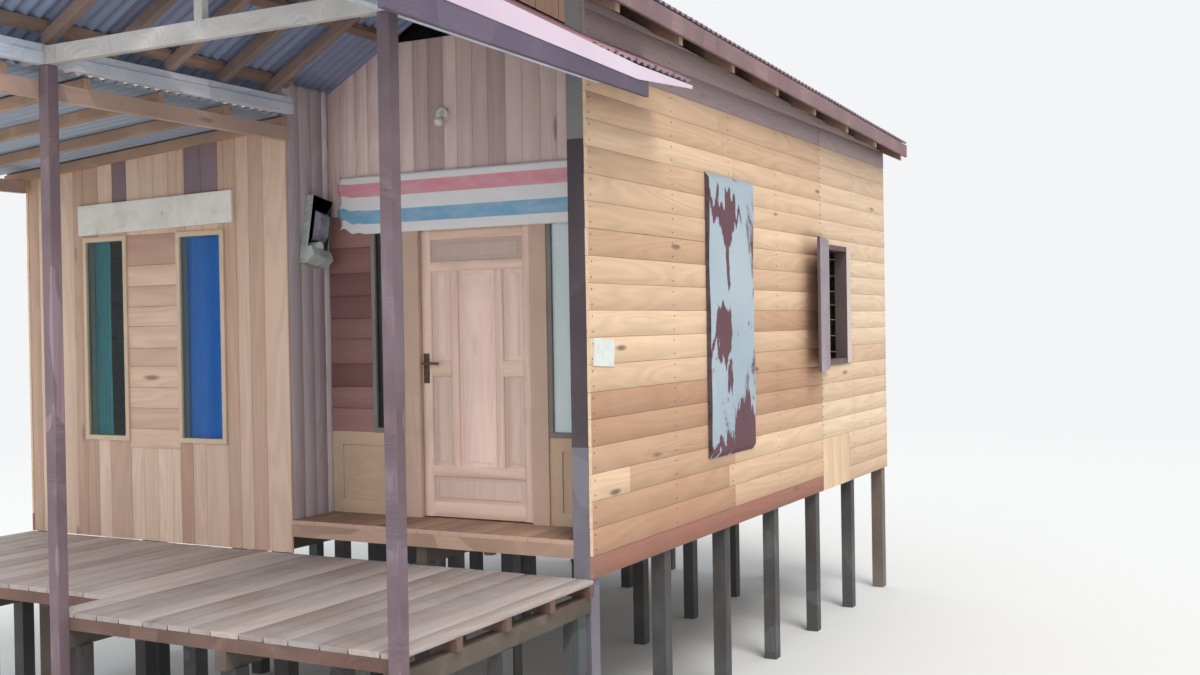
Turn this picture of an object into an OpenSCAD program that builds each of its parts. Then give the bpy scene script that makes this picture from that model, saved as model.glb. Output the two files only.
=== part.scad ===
/* [House body] */
// Width of the house across its front
house_w = 4400; // [4100:10:5200]
// Length of the house from front wall to rear wall
house_l = 5750; // [5500:10:7500]
// Height of the wall plates above the porch deck, at the front
wall_h = 3100; // [3060:10:3400]
// Fall of the main roof towards the rear, in degrees
roof_fall = 2; // [0:0.5:2.5]
// Thickness of the wall boards
board_t = 22; // [18:1:28]
// Width of a stud along its wall
stud_w = 50; // [40:5:60]
// Depth of a stud across its wall
stud_d = 70; // [50:5:80]
// Depth of a wall plate
plate_h = 80; // [60:5:100]

/* [Stilts and floor] */
// Height of the porch deck above the ground
deck_z = 1100; // [800:10:1600]
// Side of a stilt
stilt_s = 90; // [70:5:110]
// Side of a corner post
corner_s = 100; // [90:5:120]
// Depth of the floor bearers
bearer_h = 100; // [80:5:120]
// Width of the floor bearers
bearer_w = 70; // [50:5:80]
// Depth of the floor joists
joist_h = 75; // [60:5:100]
// Width of a joist
joist_w = 50; // [40:5:60]
// Thickness of the floor boards
floor_t = 25; // [20:1:30]

/* [Door bay] */
// Width of the recessed door bay
bay_w = 2080; // [2000:10:2300]
// Depth of the recess in front of the door wall
bay_d = 400; // [360:10:600]
// Distance of the door's centre line from the outer face of the right wall
door_x = 995; // [960:5:1040]
// Width of the door leaf
leaf_w = 800; // [700:5:860]
// Height of the door leaf
leaf_h = 1762; // [1650:2:1800]
// Thickness of the door leaf
leaf_t = 36; // [32:1:42]
// Gap around the door leaf
leaf_gap = 7; // [6:0.5:9]
// Width of a door jamb
jamb_w = 98; // [60:1:110]
// Depth of the door frame
frame_d = 70; // [64:1:90]
// Width of a side light with its frame
light_w = 250; // [180:5:300]
// Height of the low panels under the side lights
low_h = 510; // [400:5:700]
// Height of the door head's top above the floor
head_z = 1860; // [1860:5:1900]
// Opening angle of the door in the model
door_open = 0; // [0:5:95]

/* [Windows] */
// Width of a front window
win_w = 405; // [300:5:440]
// Height of a front window
win_h = 1345; // [900:5:1400]
// Height of the front window sills above the deck
win_sill = 645; // [600:5:900]
// Distance between the centre lines of the two front windows
win_step = 850; // [700:5:900]
// Distance of the front windows' middle from the bay's left side
win_mid = 1132; // [1100:2:1300]
// Width of a window frame bar
win_bar = 32; // [24:2:45]
// Width of the side window
side_win_w = 600; // [500:10:700]
// Height of the side window
side_win_h = 970; // [800:10:1000]
// Height of the side window's sill above the deck
side_win_sill = 1000; // [900:10:1200]
// Distance from the front wall to the near edge of the side window
side_win_y = 3970; // [3600:10:4100]
// Opening angle of the board shutter
shutter_open = 169; // [120:1:170]

/* [Main roof] */
// Rise of the main roof for each unit of run
roof_rise = 0.49; // [0.4:0.01:0.6]
// Overhang of the main roof beyond the side walls
eave_out = 200; // [120:5:240]
// Overhang of the main roof beyond the front wall
front_out = 300; // [200:10:400]
// Overhang of the main roof beyond the rear wall
rear_out = 100; // [60:10:300]
// Depth of a main rafter
rafter_d = 115; // [90:5:120]
// Depth of a purlin
purlin_d = 40; // [30:2:50]
// Pitch of the roof sheets' corrugations
wave_pitch = 76; // [76:1:130]
// Depth of the corrugations
wave_d = 18; // [14:1:22]
// Thickness of the roof sheets in the model
sheet_t = 4; // [3:0.5:6]

/* [Porch roof] */
// Rise of the porch roof for each unit of run
porch_rise = 0.55; // [0.5:0.01:0.6]
// Reach of the porch posts in front of the house
post_y = 1710; // [1400:10:2000]
// Overhang of the porch roof in front of the posts
porch_front = 375; // [200:5:500]
// Overhang of the porch roof beyond the right wall
porch_out = 310; // [250:5:400]
// Side of a porch post
post_s = 65; // [55:5:90]
// Height of the porch posts above the deck
post_h = 2655; // [2620:5:2720]
// Depth of a porch rafter
porch_rafter_d = 60; // [50:5:70]
// Number of porch rafter pairs
porch_pairs = 5; // [4:1:6]

/* [Decks] */
// Thickness of the deck boards
deck_t = 28; // [22:1:35]
// Depth of the deck joists
deck_joist_h = 62; // [50:2:80]
// Depth of the deck beams
deck_beam_h = 90; // [70:5:110]
// Depth of the left deck in front of the wall
left_deck_d = 1350; // [1100:10:1500]
// Fall of the lean-to roof for each unit of run
lean_fall = 0.075; // [0.05:0.005:0.1]

/* [Hidden] */

// The model is drawn with the deck's top at z = 0, the front wall's face at y = 0 and the outer
// face of the right wall at x = 0, and then moved so that its origin lies on the ground, under
// the middle of its outline.
eave_board_t = 25;
x_max = porch_out;
y_min = -post_y - post_s - porch_front;
wave_t = wave_d + sheet_t;

// A box between two corners.
module block(a, b) translate(a) cube([b[0] - a[0], b[1] - a[1], b[2] - a[2]]);

fit_gap = 0.3;
far = 20000;
// How far a cut runs past the face that it opens.
past = 1;
floor_z = bearer_h + joist_h + floor_t;
joist_z = bearer_h + joist_h;
in_x = board_t;
left_x = -house_w;
bay_x = -bay_w;
mid_x = -house_w / 2;

// Roof frame: its xy plane is the top of the wall plates, which falls towards the rear.
module on_plates() translate([0, 0, wall_h]) rotate([-roof_fall, 0, 0]) children();
module under_plates() intersection() {
    children();
    on_plates() block([-far, -far, -far], [far, far, 0]);
}

// Stilts and floor. The rows of stilts run across the house, and the bearers lie on their heads.
stilt_rows = 5;
stilt_lines = 7;
row_x = [for (i = [0:stilt_rows - 1])
    -in_x - corner_s / 2 - i * (house_w - 2 * in_x - corner_s) / (stilt_rows - 1)];
line_y = [for (j = [0:stilt_lines - 1])
    corner_s / 2 + j * (house_l - in_x - corner_s) / (stilt_lines - 1)];

function is_corner(i, j) = (i == 0 || i == stilt_rows - 1) && (j == 0 || j == stilt_lines - 1);

module stilt(x, y, top)
    block([x - stilt_s / 2, y - stilt_s / 2, -deck_z], [x + stilt_s / 2, y + stilt_s / 2, top]);
deck_row_in = 30;

module stilts() placed() color("#5b5a57") {
    for (i = [0:stilt_rows - 1], j = [0:stilt_lines - 1])
        if (!is_corner(i, j)) stilt(row_x[i], line_y[j], 0);
    for (x = porch_beam_x, y = [deck_front + stilt_s, deck_front / 2, -stilt_s - deck_row_in])
        stilt(x + bearer_w / 2, y, deck_beam_z);
    for (x = left_beam_x, y = [-left_deck_d + stilt_s, -stilt_s - deck_row_in])
        stilt(x + bearer_w / 2, y, deck_beam_z);
}

module bearers() placed() color("#6d6156") {
    for (i = [0:stilt_rows - 1]) difference() {
        block([row_x[i] - bearer_w / 2, board_t, 0], [row_x[i] + bearer_w / 2, house_l - board_t, bearer_h]);
        post_holes();
    }
    for (x = porch_beam_x) block([x, deck_front, deck_beam_z], [x + bearer_w, 0, deck_joist_z]);
    for (x = left_beam_x) block([x, -left_deck_d, deck_beam_z], [x + bearer_w, 0, deck_joist_z]);
}

joist_count = 13;
joist_y0 = corner_s + joist_w;
joist_step = (house_l - 2 * joist_y0 - joist_w) / (joist_count - 1);
module floor_joists() placed() color("#75685a") {
    for (k = [0:joist_count - 1])
        block([left_x + in_x, joist_y0 + k * joist_step, bearer_h],
              [-in_x, joist_y0 + k * joist_step + joist_w, joist_z]);
    block([bay_x, 0, bearer_h], [-in_x - corner_s, joist_w, joist_z]);
}

module floor_boards() placed() color("#9a8067") difference() {
    union() {
        block([left_x + in_x, board_t, joist_z], [-in_x, house_l - board_t, floor_z]);
        block([bay_x, 0, joist_z], [-in_x, bay_d, floor_z]);
    }
    post_holes();
}

// Corner posts run from the ground to the top of the plates, which are cut out for them.
module post_run(x, y, z, gap)
    block([x - gap, y - gap, z], [x + corner_s + gap, y + corner_s + gap, far]);
module front_post_run(gap = 0) post_run(-in_x - corner_s, 0, -deck_z, gap);
module other_post_runs(gap = 0) {
    post_run(left_x + in_x, board_t, -deck_z, gap);
    post_run(bay_x - board_t - corner_s, board_t, floor_z, gap);
    for (x = [left_x + in_x, -in_x - corner_s])
        post_run(x, house_l - board_t - corner_s, -deck_z, gap);
}
module post_holes(gap = 0) {
    front_post_run(gap);
    other_post_runs(gap);
}
module front_post_body() under_plates() front_post_run();
module corner_posts() placed() color("#6f6459") under_plates() other_post_runs();
module front_corner_post() placed() color("#3f3f47") front_post_body();

// Board walls. Each is one skin, cut at the top by the plane of the plates.
joint_in = 80;
joint_y = side_win_y - joint_in;
module side_window_hole(x) block([x - far, side_win_y, side_win_sill],
    [x + far, side_win_y + side_win_w, side_win_sill + side_win_h]);

module right_wall() placed() color("#d0a67f") difference() {
    under_plates() block([-board_t, 0, 0], [0, house_l, far]);
    side_window_hole(0);
}

module left_wall() placed() color("#d0a67f") difference() {
    under_plates() block([left_x, 0, 0], [left_x + board_t, house_l, far]);
    side_window_hole(left_x);
}

module rear_wall() placed() color("#c79f7b") under_plates()
    block([left_x + board_t, house_l - board_t, 0], [-board_t, house_l, far]);

win_x = [bay_x - win_mid - win_step / 2, bay_x - win_mid + win_step / 2];
module window_hole(x) block([x - win_w / 2, -far, win_sill], [x + win_w / 2, far, win_sill + win_h]);

module front_wall_left() placed() color("#c9a084") difference() {
    under_plates() block([left_x + board_t, 0, 0], [bay_x, board_t, far]);
    for (x = win_x) window_hole(x);
}

module return_wall() placed() color("#8f7d70")
    block([bay_x - board_t, board_t, floor_z], [bay_x, bay_d + board_t, wall_h - plate_h]);

// Door wall at the back of the bay: frame in the middle, a side light on each side over a low
// panel, boards beside them and boards over them all.
frame_proud = 15;
frame_y = bay_d - frame_proud;
frame_in = frame_y + frame_d;
hole_w = leaf_w + 2 * leaf_gap;
frame_w = hole_w + 2 * jamb_w;
frame_x0 = -door_x - frame_w / 2;
frame_x1 = -door_x + frame_w / 2;
light_x0 = frame_x0 - light_w;
light_x1 = frame_x1 + light_w;
low_z = floor_z + low_h;
head_top = floor_z + head_z;
leaf_z = floor_z + leaf_gap;

module door_wall_sides() placed() color("#6b4a42") {
    block([bay_x, bay_d, low_z], [light_x0, bay_d + board_t, head_top]);
    block([light_x1, bay_d, low_z], [-in_x, bay_d + board_t, head_top]);
}
module door_wall_head() placed() color("#b08a78") {
    difference() {
        block([bay_x, bay_d, head_top], [-in_x, bay_d + board_t, wall_h]);
        on_plates() block([-in_x - stud_d - past, -far, -plate_h], [0, far, far]);
    }
    block([bay_x + batten_in, frame_y, pelmet_top - batten_h], [-in_x - end_gap, bay_d, pelmet_top]);
}

rail_w = 80;
panel_in = 10;
module low_panel(x0, x1) difference() {
    block([x0, bay_d, floor_z], [x1, bay_d + board_t, low_z]);
    block([x0 + rail_w, bay_d - past, floor_z + rail_w], [x1 - rail_w, bay_d + panel_in, low_z - rail_w]);
}
module low_panels() placed() color("#c2a285") {
    low_panel(bay_x, frame_x0);
    low_panel(frame_x1, -in_x);
}

// Studs inside the skins, and the plates on their heads.
stud_first = 1050;
stud_step = 900;
stud_last = 450;
stud_y = [stud_first, stud_first + stud_step, stud_first + 2 * stud_step, joint_y - stud_w / 2,
    side_win_y + side_win_w, house_l - board_t - corner_s - stud_last];
module side_studs(x0) for (y = stud_y)
    block([x0, y, floor_z], [x0 + stud_d, y + stud_w, far]);
stud_y0 = bay_d + board_t;
module wall_studs() placed() color("#a48263") intersection() {
    union() {
        side_studs(-in_x - stud_d);
        side_studs(left_x + in_x);
        for (k = [1:4]) let (x = left_x + k * house_w / 5)
            block([x - stud_w / 2, house_l - board_t - stud_d, floor_z],
                  [x + stud_w / 2, house_l - board_t, far]);
        for (x = win_x, s = [-1, 1]) let (x0 = x + s * (win_w / 2 + stud_w / 2) - stud_w / 2)
            block([x0, board_t, floor_z], [x0 + stud_w, board_t + stud_d, far]);
        for (x = [bay_x, light_x0 - stud_w, light_x1, -in_x - stud_w])
            block([x, stud_y0, floor_z], [x + stud_w, stud_y0 + stud_d, far]);
    }
    on_plates() block([-far, -far, -far], [far, far, -plate_h]);
}

plate_l = house_l - board_t;
plate_front = 5;
plate_rear = 10;
module wall_plates() placed() color("#a07c5e") difference() {
    on_plates() {
        block([-in_x - stud_d, corner_s / 2, -plate_h], [-in_x - fit_gap, plate_l, 0]);
        block([left_x + in_x + fit_gap, board_t + plate_front, -plate_h],
              [left_x + in_x + stud_d, plate_l, 0]);
        block([left_x + in_x + stud_d + past, board_t + plate_front, -plate_h],
              [bay_x - board_t, board_t + stud_d, 0]);
        block([bay_x, stud_y0 + plate_front, -plate_h], [-in_x - stud_d - past, stud_y0 + stud_d, 0]);
        block([left_x + in_x + stud_d + past, plate_l - plate_rear - stud_d, -plate_h],
              [-in_x - stud_d - past, plate_l - plate_rear, 0]);
    }
    post_holes(fit_gap);
}

// Door frame, leaf and hinges. The leaf hangs on the right jamb and opens into the house.
stop_t = 28;
stop_w = 14;
module door_frame() placed() color("#b58f74") difference() {
    block([frame_x0, frame_y, floor_z], [frame_x1, frame_in, head_top]);
    block([frame_x0 + jamb_w, frame_y + stop_t, floor_z - past],
          [frame_x1 - jamb_w, frame_in + past, leaf_z + leaf_h + leaf_gap]);
    block([frame_x0 + jamb_w + stop_w, frame_y - past, floor_z - past],
          [frame_x1 - jamb_w - stop_w, frame_in + past, leaf_z + leaf_h + leaf_gap - stop_w]);
}

leaf_x0 = -door_x - leaf_w / 2;
leaf_x1 = -door_x + leaf_w / 2;
leaf_y0 = frame_in - leaf_t;
stile_w = 75;
muntin_w = 55;
centre_w = 260;
side_panel_w = (leaf_w - 2 * stile_w - 2 * muntin_w - centre_w) / 2;
// Heights of the panels' lower and upper edges above the foot of the leaf: the wide foot panel, the
// lower and upper side panels, and the wide head panel. The centre panel runs past the lock rail.
foot_panel = [90, 246];
lower_panel = [312, 850];
upper_panel = [946, 1486];
head_panel = [1546, 1677];
centre_panel = [lower_panel[0], upper_panel[1]];
// Each panel lies in a recess, and its field is raised inside a groove and a bevel.
recess_d = 11;
field_back = 4;
groove_w = 5;
bevel_w = 26;
function field_line(a, b) = [
    [a + groove_w, recess_d + past], [b - groove_w, recess_d + past], [b - groove_w, recess_d],
    [b - bevel_w, field_back], [a + bevel_w, field_back], [a + groove_w, recess_d]];
module raised_field(x0, x1, z) intersection() {
    translate([0, 0, z[0]]) linear_extrude(z[1] - z[0]) polygon(field_line(x0, x1));
    translate([x0, 0, 0]) rotate([90, 0, 90]) linear_extrude(x1 - x0)
        polygon([for (p = field_line(z[0], z[1])) [p[1], p[0]]]);
}
module panel_recess(x0, x1, z) difference() {
    block([x0, -past, z[0]], [x1, recess_d, z[1]]);
    raised_field(x0, x1, z);
}
module leaf_recesses() {
    for (z = [foot_panel, head_panel]) panel_recess(stile_w, leaf_w - stile_w, z);
    for (z = [lower_panel, upper_panel]) {
        panel_recess(stile_w, stile_w + side_panel_w, z);
        panel_recess(leaf_w - stile_w - side_panel_w, leaf_w - stile_w, z);
    }
    panel_recess((leaf_w - centre_w) / 2, (leaf_w + centre_w) / 2, centre_panel);
}

hinge_r = 6;
pin_x = leaf_x1 + leaf_gap / 2;
pin_y = frame_in + hinge_r;
module swung()
    translate([pin_x, pin_y, 0]) rotate([0, 0, -door_open]) translate([-pin_x, -pin_y, 0]) children();

module front_door() placed() color("#c59a80") swung() difference() {
    block([leaf_x0, leaf_y0, leaf_z], [leaf_x1, frame_in, leaf_z + leaf_h]);
    translate([leaf_x0, leaf_y0, leaf_z]) leaf_recesses();
    translate([leaf_x0, frame_in, leaf_z]) mirror([0, 1, 0]) leaf_recesses();
}

handle_z = 900;
handle_h = 180;
handle_w = 40;
handle_t = 4;
spindle_d = 14;
lever_z = 30;
lever_h = 16;
lever_l = 105;
lever_out = 28;
lever_t = 12;
module handle() for (s = [0, 1])
    translate([leaf_x0 + stile_w / 2, s == 0 ? leaf_y0 : frame_in, leaf_z + handle_z]) mirror([0, 1 - s, 0]) {
        block([-handle_w / 2, 0, -handle_h / 2], [handle_w / 2, handle_t, handle_h / 2]);
        translate([0, handle_t - past, lever_z]) rotate([-90, 0, 0])
            cylinder(d = spindle_d, h = lever_out + lever_t / 2 - handle_t + past, $fn = 24);
        block([-lever_h / 2, lever_out, lever_z - lever_h / 2],
              [lever_l, lever_out + lever_t, lever_z + lever_h / 2]);
    }

hinge_z = [180, 880, 1560];
hinge_h = 84;
knuckle_h = hinge_h / 3;
flap_t = 2;
flap_w = 32;
flap_gap = 1;
web_in = 0.6 * hinge_r;
module knuckle(z, h) translate([pin_x, pin_y, z]) cylinder(r = hinge_r, h = h, $fn = 24);
module door_hinges() placed() color("#8d8f92") for (z = hinge_z) translate([0, 0, leaf_z + z]) {
    knuckle(0, knuckle_h - fit_gap);
    knuckle(2 * knuckle_h + fit_gap, knuckle_h - fit_gap);
    block([pin_x + hinge_r + flap_gap, frame_in, 0], [pin_x + hinge_r + flap_w, frame_in + flap_t, hinge_h]);
    block([pin_x + web_in, frame_in, 0],
          [pin_x + hinge_r + 2 * flap_gap, frame_in + flap_t, knuckle_h - fit_gap]);
    block([pin_x + web_in, frame_in, 2 * knuckle_h + fit_gap],
          [pin_x + hinge_r + 2 * flap_gap, frame_in + flap_t, hinge_h]);
}
module hinge_leaves() for (z = hinge_z) translate([0, 0, leaf_z + z]) {
    knuckle(knuckle_h, knuckle_h);
    block([pin_x - hinge_r - flap_w, frame_in, 0], [pin_x - hinge_r - flap_gap, frame_in + flap_t, hinge_h]);
    block([pin_x - hinge_r - 2 * flap_gap, frame_in, knuckle_h],
          [pin_x - web_in, frame_in + flap_t, 2 * knuckle_h]);
}
module door_hardware() placed() color("#3a3532") swung() {
    handle();
    hinge_leaves();
}

// Side lights: a frame with one pane on each side of the door.
light_bar = 30;
light_front = 5;
light_back = 10;
pane_t = 5;
light_pane_y = bay_d + 8;
module light_frame(x0, x1) difference() {
    block([x0, frame_y + light_front, low_z], [x1, frame_in - light_back, head_top]);
    block([x0 + light_bar, frame_y - past, low_z + light_bar],
          [x1 - light_bar, frame_in + past, head_top - light_bar]);
}
module light_pane(x0, x1) block([x0 + light_bar, light_pane_y, low_z + light_bar],
    [x1 - light_bar, light_pane_y + pane_t, head_top - light_bar]);
// Front windows.
frame_front = 12;
frame_back = board_t + 40;
win_pane_y = 6;
module window_frame(x) difference() {
    block([x - win_w / 2, -frame_front, win_sill], [x + win_w / 2, frame_back, win_sill + win_h]);
    block([x - win_w / 2 + win_bar, -far, win_sill + win_bar],
          [x + win_w / 2 - win_bar, far, win_sill + win_h - win_bar]);
}
module window_frames() placed() color("#9aa0a0") {
    for (x = win_x) window_frame(x);
    light_frame(light_x0, frame_x0);
    light_frame(frame_x1, light_x1);
    side_window_frame();
    translate([left_x, 0, 0]) mirror([1, 0, 0]) side_window_frame();
}
module window_panes() placed() color("#4f7d96") {
    for (x = win_x)
        block([x - win_w / 2 + win_bar, win_pane_y, win_sill + win_bar],
              [x + win_w / 2 - win_bar, win_pane_y + pane_t, win_sill + win_h - win_bar]);
    light_pane(light_x0, frame_x0);
    light_pane(frame_x1, light_x1);
}
curtain_t = 8;
curtain_in = 4;
curtain_over = 20;
module window_curtains() placed() color("#3f8fc0") for (x = win_x)
    block([x - win_w / 2 + curtain_in, frame_back + fit_gap, win_sill - curtain_over],
          [x + win_w / 2 - curtain_in, frame_back + curtain_t, win_sill + win_h + curtain_over]);

// Board nailed over the two windows, a little higher at its right end.
header_w = 1365;
header_h = 200;
header_t = 20;
header_lift = 27;
header_right = 30;
header_z = win_sill + win_h + header_lift;
header_tilt = 1.2;
module header_board() placed() color("#e4e0da")
    translate([bay_x - win_mid + header_right, 0, header_z]) rotate([0, -header_tilt, 0])
        block([-header_w / 2, -header_t, 0], [header_w / 2, 0, header_h]);

// Side windows, with a cover strip on the far side and a board shutter hung on the near side.
side_bar = 40;
side_out = 14;
side_trim_w = 70;
module side_window_frame() difference() {
    union() {
        block([-in_x - stud_d, side_win_y, side_win_sill],
              [side_out, side_win_y + side_win_w, side_win_sill + side_win_h]);
        block([0, side_win_y + side_win_w - past, side_win_sill],
              [side_out, side_win_y + side_win_w + side_trim_w, side_win_sill + side_win_h]);
    }
    block([-far, side_win_y + side_bar, side_win_sill + side_bar],
          [far, side_win_y + side_win_w - side_bar, side_win_sill + side_win_h - side_bar]);
}
shutter_w = side_win_w - 40;
shutter_t = 22;
shutter_pin = 6;
shutter_in = 20;
shutter_over = 30;
hook_h = 80;
hook_z = [120, side_win_h - 120 - hook_h];
shutter_reach = side_out + shutter_pin + (shutter_t - shutter_pin) * -cos(shutter_open)
    + shutter_w * sin(shutter_open);
shutter_z0 = side_win_sill - shutter_over;
shutter_z1 = side_win_sill + side_win_h + shutter_over;
module shutter() translate([side_out + shutter_pin, side_win_y + shutter_in, 0]) {
    rotate([0, 0, 180 - shutter_open])
        block([past - shutter_pin, -shutter_w, shutter_z0], [shutter_t - shutter_pin, 0, shutter_z1]);
    for (z = hook_z) translate([0, 0, side_win_sill + z]) cylinder(r = shutter_pin, h = hook_h, $fn = 24);
}
module side_shutters() placed() color("#4e4340") {
    shutter();
    translate([left_x, 0, 0]) mirror([1, 0, 0]) shutter();
}

// Zinc sheet on a frame of battens on the right wall, with its edges folded back to the boards.
zinc_y = 1570;
zinc_w = 800;
zinc_z = 480;
zinc_h = 1840;
zinc_out = 40;
zinc_t = 4;
zinc_rim = 25;
module zinc_panel() placed() color("#9fb2bb") difference() {
    block([0, zinc_y, zinc_z], [zinc_out, zinc_y + zinc_w, zinc_z + zinc_h]);
    block([-past, zinc_y + zinc_rim, zinc_z + zinc_rim],
          [zinc_out - zinc_t, zinc_y + zinc_w - zinc_rim, zinc_z + zinc_h - zinc_rim]);
}

// Plastic sheet pelmet across the bay, hung from a batten.
batten_in = 90;
batten_h = 40;
end_gap = 4;
pelmet_in = 100;
pelmet_h = 360;
pelmet_z = 2100;
pelmet_top = floor_z + pelmet_z;
pelmet_t = 6;
module door_pelmet() placed() color("#c98a92")
    block([bay_x + pelmet_in, frame_y - pelmet_t, pelmet_top - pelmet_h],
          [-in_x - end_gap, frame_y - fit_gap, pelmet_top]);

// Open case on the side of the bay, hung askew: a pan with a rim, the meter in it with its round dial,
// and the cover of its terminals below, which stands out furthest.
case_y = 245;
case_z = 1960;
case_tilt = 11;
case_w = 190;
case_h = 430;
case_rim = 55;
case_t = 4;
meter_w = 130;
meter_h = 190;
meter_d = 90;
meter_z = 35;
dial_d = 62;
dial_z = -95;
dial_out = 72;
cover_h = 105;
cover_d = 110;
cover_tip = 60;
module meter_box() placed() color("#8f949c") translate([bay_x, case_y, case_z]) rotate([-case_tilt, 0, 0]) {
    difference() {
        block([0, -case_w / 2, -case_h / 2], [case_rim, case_w / 2, case_h / 2]);
        block([case_t, -case_w / 2 + case_t, -case_h / 2 + case_t],
              [case_rim + past, case_w / 2 - case_t, case_h / 2 - case_t]);
    }
    hull() {
        block([case_t - past, -meter_w / 2, meter_z - meter_h / 2],
              [meter_d / 2, meter_w / 2, meter_z + meter_h / 2]);
        block([meter_d - past, -meter_w / 3, meter_z - meter_h / 3],
              [meter_d, meter_w / 3, meter_z + meter_h / 3]);
    }
    translate([case_t - past, 0, dial_z]) rotate([0, 90, 0]) cylinder(d = dial_d, h = dial_out, $fn = 24);
    translate([0, case_w / 2, 0]) rotate([90, 0, 0]) linear_extrude(case_w)
        polygon([[case_t - past, -case_h / 2], [cover_tip, -case_h / 2], [cover_d, -case_h / 2 + cover_h / 2],
                 [cover_d - cover_h / 4, -case_h / 2 + cover_h], [case_t - past, -case_h / 2 + cover_h]]);
}

// Lamp on the boards over the door: base, neck, socket and bulb.
lamp_x = -1190;
lamp_z = 2630;
lamp_base_d = 80;
lamp_base_t = 22;
lamp_neck_d = 42;
lamp_out = 50;
lamp_socket_d = 34;
lamp_drop = 45;
bulb_d = 58;
module porch_lamp() placed() color("#d9d6d0") translate([lamp_x, bay_d, lamp_z]) {
    rotate([90, 0, 0]) cylinder(d = lamp_base_d, h = lamp_base_t, $fn = 24);
    rotate([90, 0, 0]) cylinder(d = lamp_neck_d, h = lamp_out, $fn = 24);
    translate([0, -lamp_out, -lamp_drop]) {
        sphere(d = bulb_d, $fn = 20);
        cylinder(d = lamp_socket_d, h = lamp_drop, $fn = 24);
    }
}

// Porch roof: a small gable on two posts, the side beams and the tie beam. The right beam laps the
// right wall's face, and the left one ends at an upright on the front wall.
porch_shift = 40;
porch_mid = -bay_w / 2 + porch_shift;
beam_w = 50;
beam_out = beam_w + fit_gap - porch_mid;
post_in = beam_out - post_s / 2;
post_x = [porch_mid - post_in, porch_mid + post_in];
beam_h = 60;
beam_lap = 120;
beam_top = post_h + beam_h;
cap_h = 40;
cap_w = 40;
cap_top = beam_top + cap_h;
seat = 12;
post_y0 = -post_y - post_s;
// Underside of the porch rafters.
function porch_under(x) = cap_top - seat + porch_rise * (beam_out - abs(x - porch_mid));
porch_vert = porch_rafter_d * sqrt(1 + porch_rise * porch_rise);
function porch_lower(x) = porch_under(x) + porch_vert;
porch_purlin_v = 34;
function porch_sheet_z(x) = porch_lower(x) + porch_purlin_v;
sheet_v = wave_t * sqrt(1 + porch_rise * porch_rise);
function porch_top(x) = porch_sheet_z(x) + sheet_v;

module porch_posts() placed() color("#6e5f62") for (x = [post_x[0], post_x[1], left_x])
    block([x - post_s / 2, post_y0, -deck_z],
          [x + post_s / 2, -post_y, x > bay_x - post_s ? post_h : outer_beam_top - lean_beam_h]);

upright_t = 45;
upright_in = 30;
upright_x = bay_x - upright_in;
module porch_beam(side, y1) translate([porch_mid, 0, 0]) mirror([side, 0, 0]) {
    block([beam_out - beam_w, y_min, post_h], [beam_out, y1, beam_top]);
    block([beam_out - cap_w, y_min, beam_top], [beam_out, y1, cap_top]);
}
module porch_beams() placed() color("#85807d") {
    upright_z = lean_under(lean_x0) + lean_rafter_d + wave_t + end_gap;
    difference() {
        union() {
            porch_beam(0, beam_lap);
            porch_beam(1, 0);
        }
        tie_body();
    }
    block([upright_x, -upright_t, upright_z],
          [porch_mid - beam_out - fit_gap, 0, porch_sheet_z(upright_x) - end_gap]);
}
tie_t = 42;
tie_h = 90;
module tie_body() block([porch_mid - beam_out, post_y0, post_h],
                        [porch_mid + beam_out, post_y0 + tie_t, post_h + tie_h]);
king_w = 50;
ridge_half = 15;
ridge_drop = 20;
first_pair = 150;
collar_lift = 20;
collar_in = 5;
porch_ridge_z = porch_under(porch_mid) - ridge_drop;
collar_z = wall_h + collar_lift;
collar_w = (porch_under(porch_mid) - collar_z) / porch_rise - collar_in;
collar_top_w = (porch_under(porch_mid) - porch_ridge_z) / porch_rise - collar_in;
module porch_tie_beam() placed() color("#c9c3bb") {
    tie_body();
    block([porch_mid - king_w / 2, post_y0, post_h + tie_h - past],
          [porch_mid + king_w / 2, post_y0 + tie_t, porch_ridge_z]);
    translate([0, -first_pair, 0]) rotate([90, 0, 0]) linear_extrude(board_t)
        polygon([[porch_mid - collar_w, collar_z], [porch_mid + collar_w, collar_z],
                 [porch_mid + collar_top_w, porch_ridge_z], [porch_mid - collar_top_w, porch_ridge_z]]);
}

pair_step = (post_y - first_pair) / (porch_pairs - 1);
porch_rafter_w = 45;
eave_in = 30;
porch_tail_x = x_max - eave_in;
module porch_rafter_half(x0, x1)
    polygon([[x0, porch_under(x0)], [x1, porch_under(x1)], [x1, porch_lower(x1)], [x0, porch_lower(x0)]]);
module porch_rafter(y) difference() {
    translate([0, y + porch_rafter_w, 0]) rotate([90, 0, 0]) linear_extrude(porch_rafter_w) {
        porch_rafter_half(porch_mid + ridge_half, porch_tail_x);
        porch_rafter_half(porch_mid - ridge_half, porch_mid - beam_out);
    }
    for (s = [0, 1]) translate([porch_mid, 0, 0]) mirror([s, 0, 0])
        block([beam_out - cap_w, y - past, 0], [beam_out, y + porch_rafter_w + past, cap_top]);
}
module porch_rafters() placed() color("#8c7672")
    for (k = [0:porch_pairs - 1]) porch_rafter(-first_pair - porch_rafter_w - k * pair_step);

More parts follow.
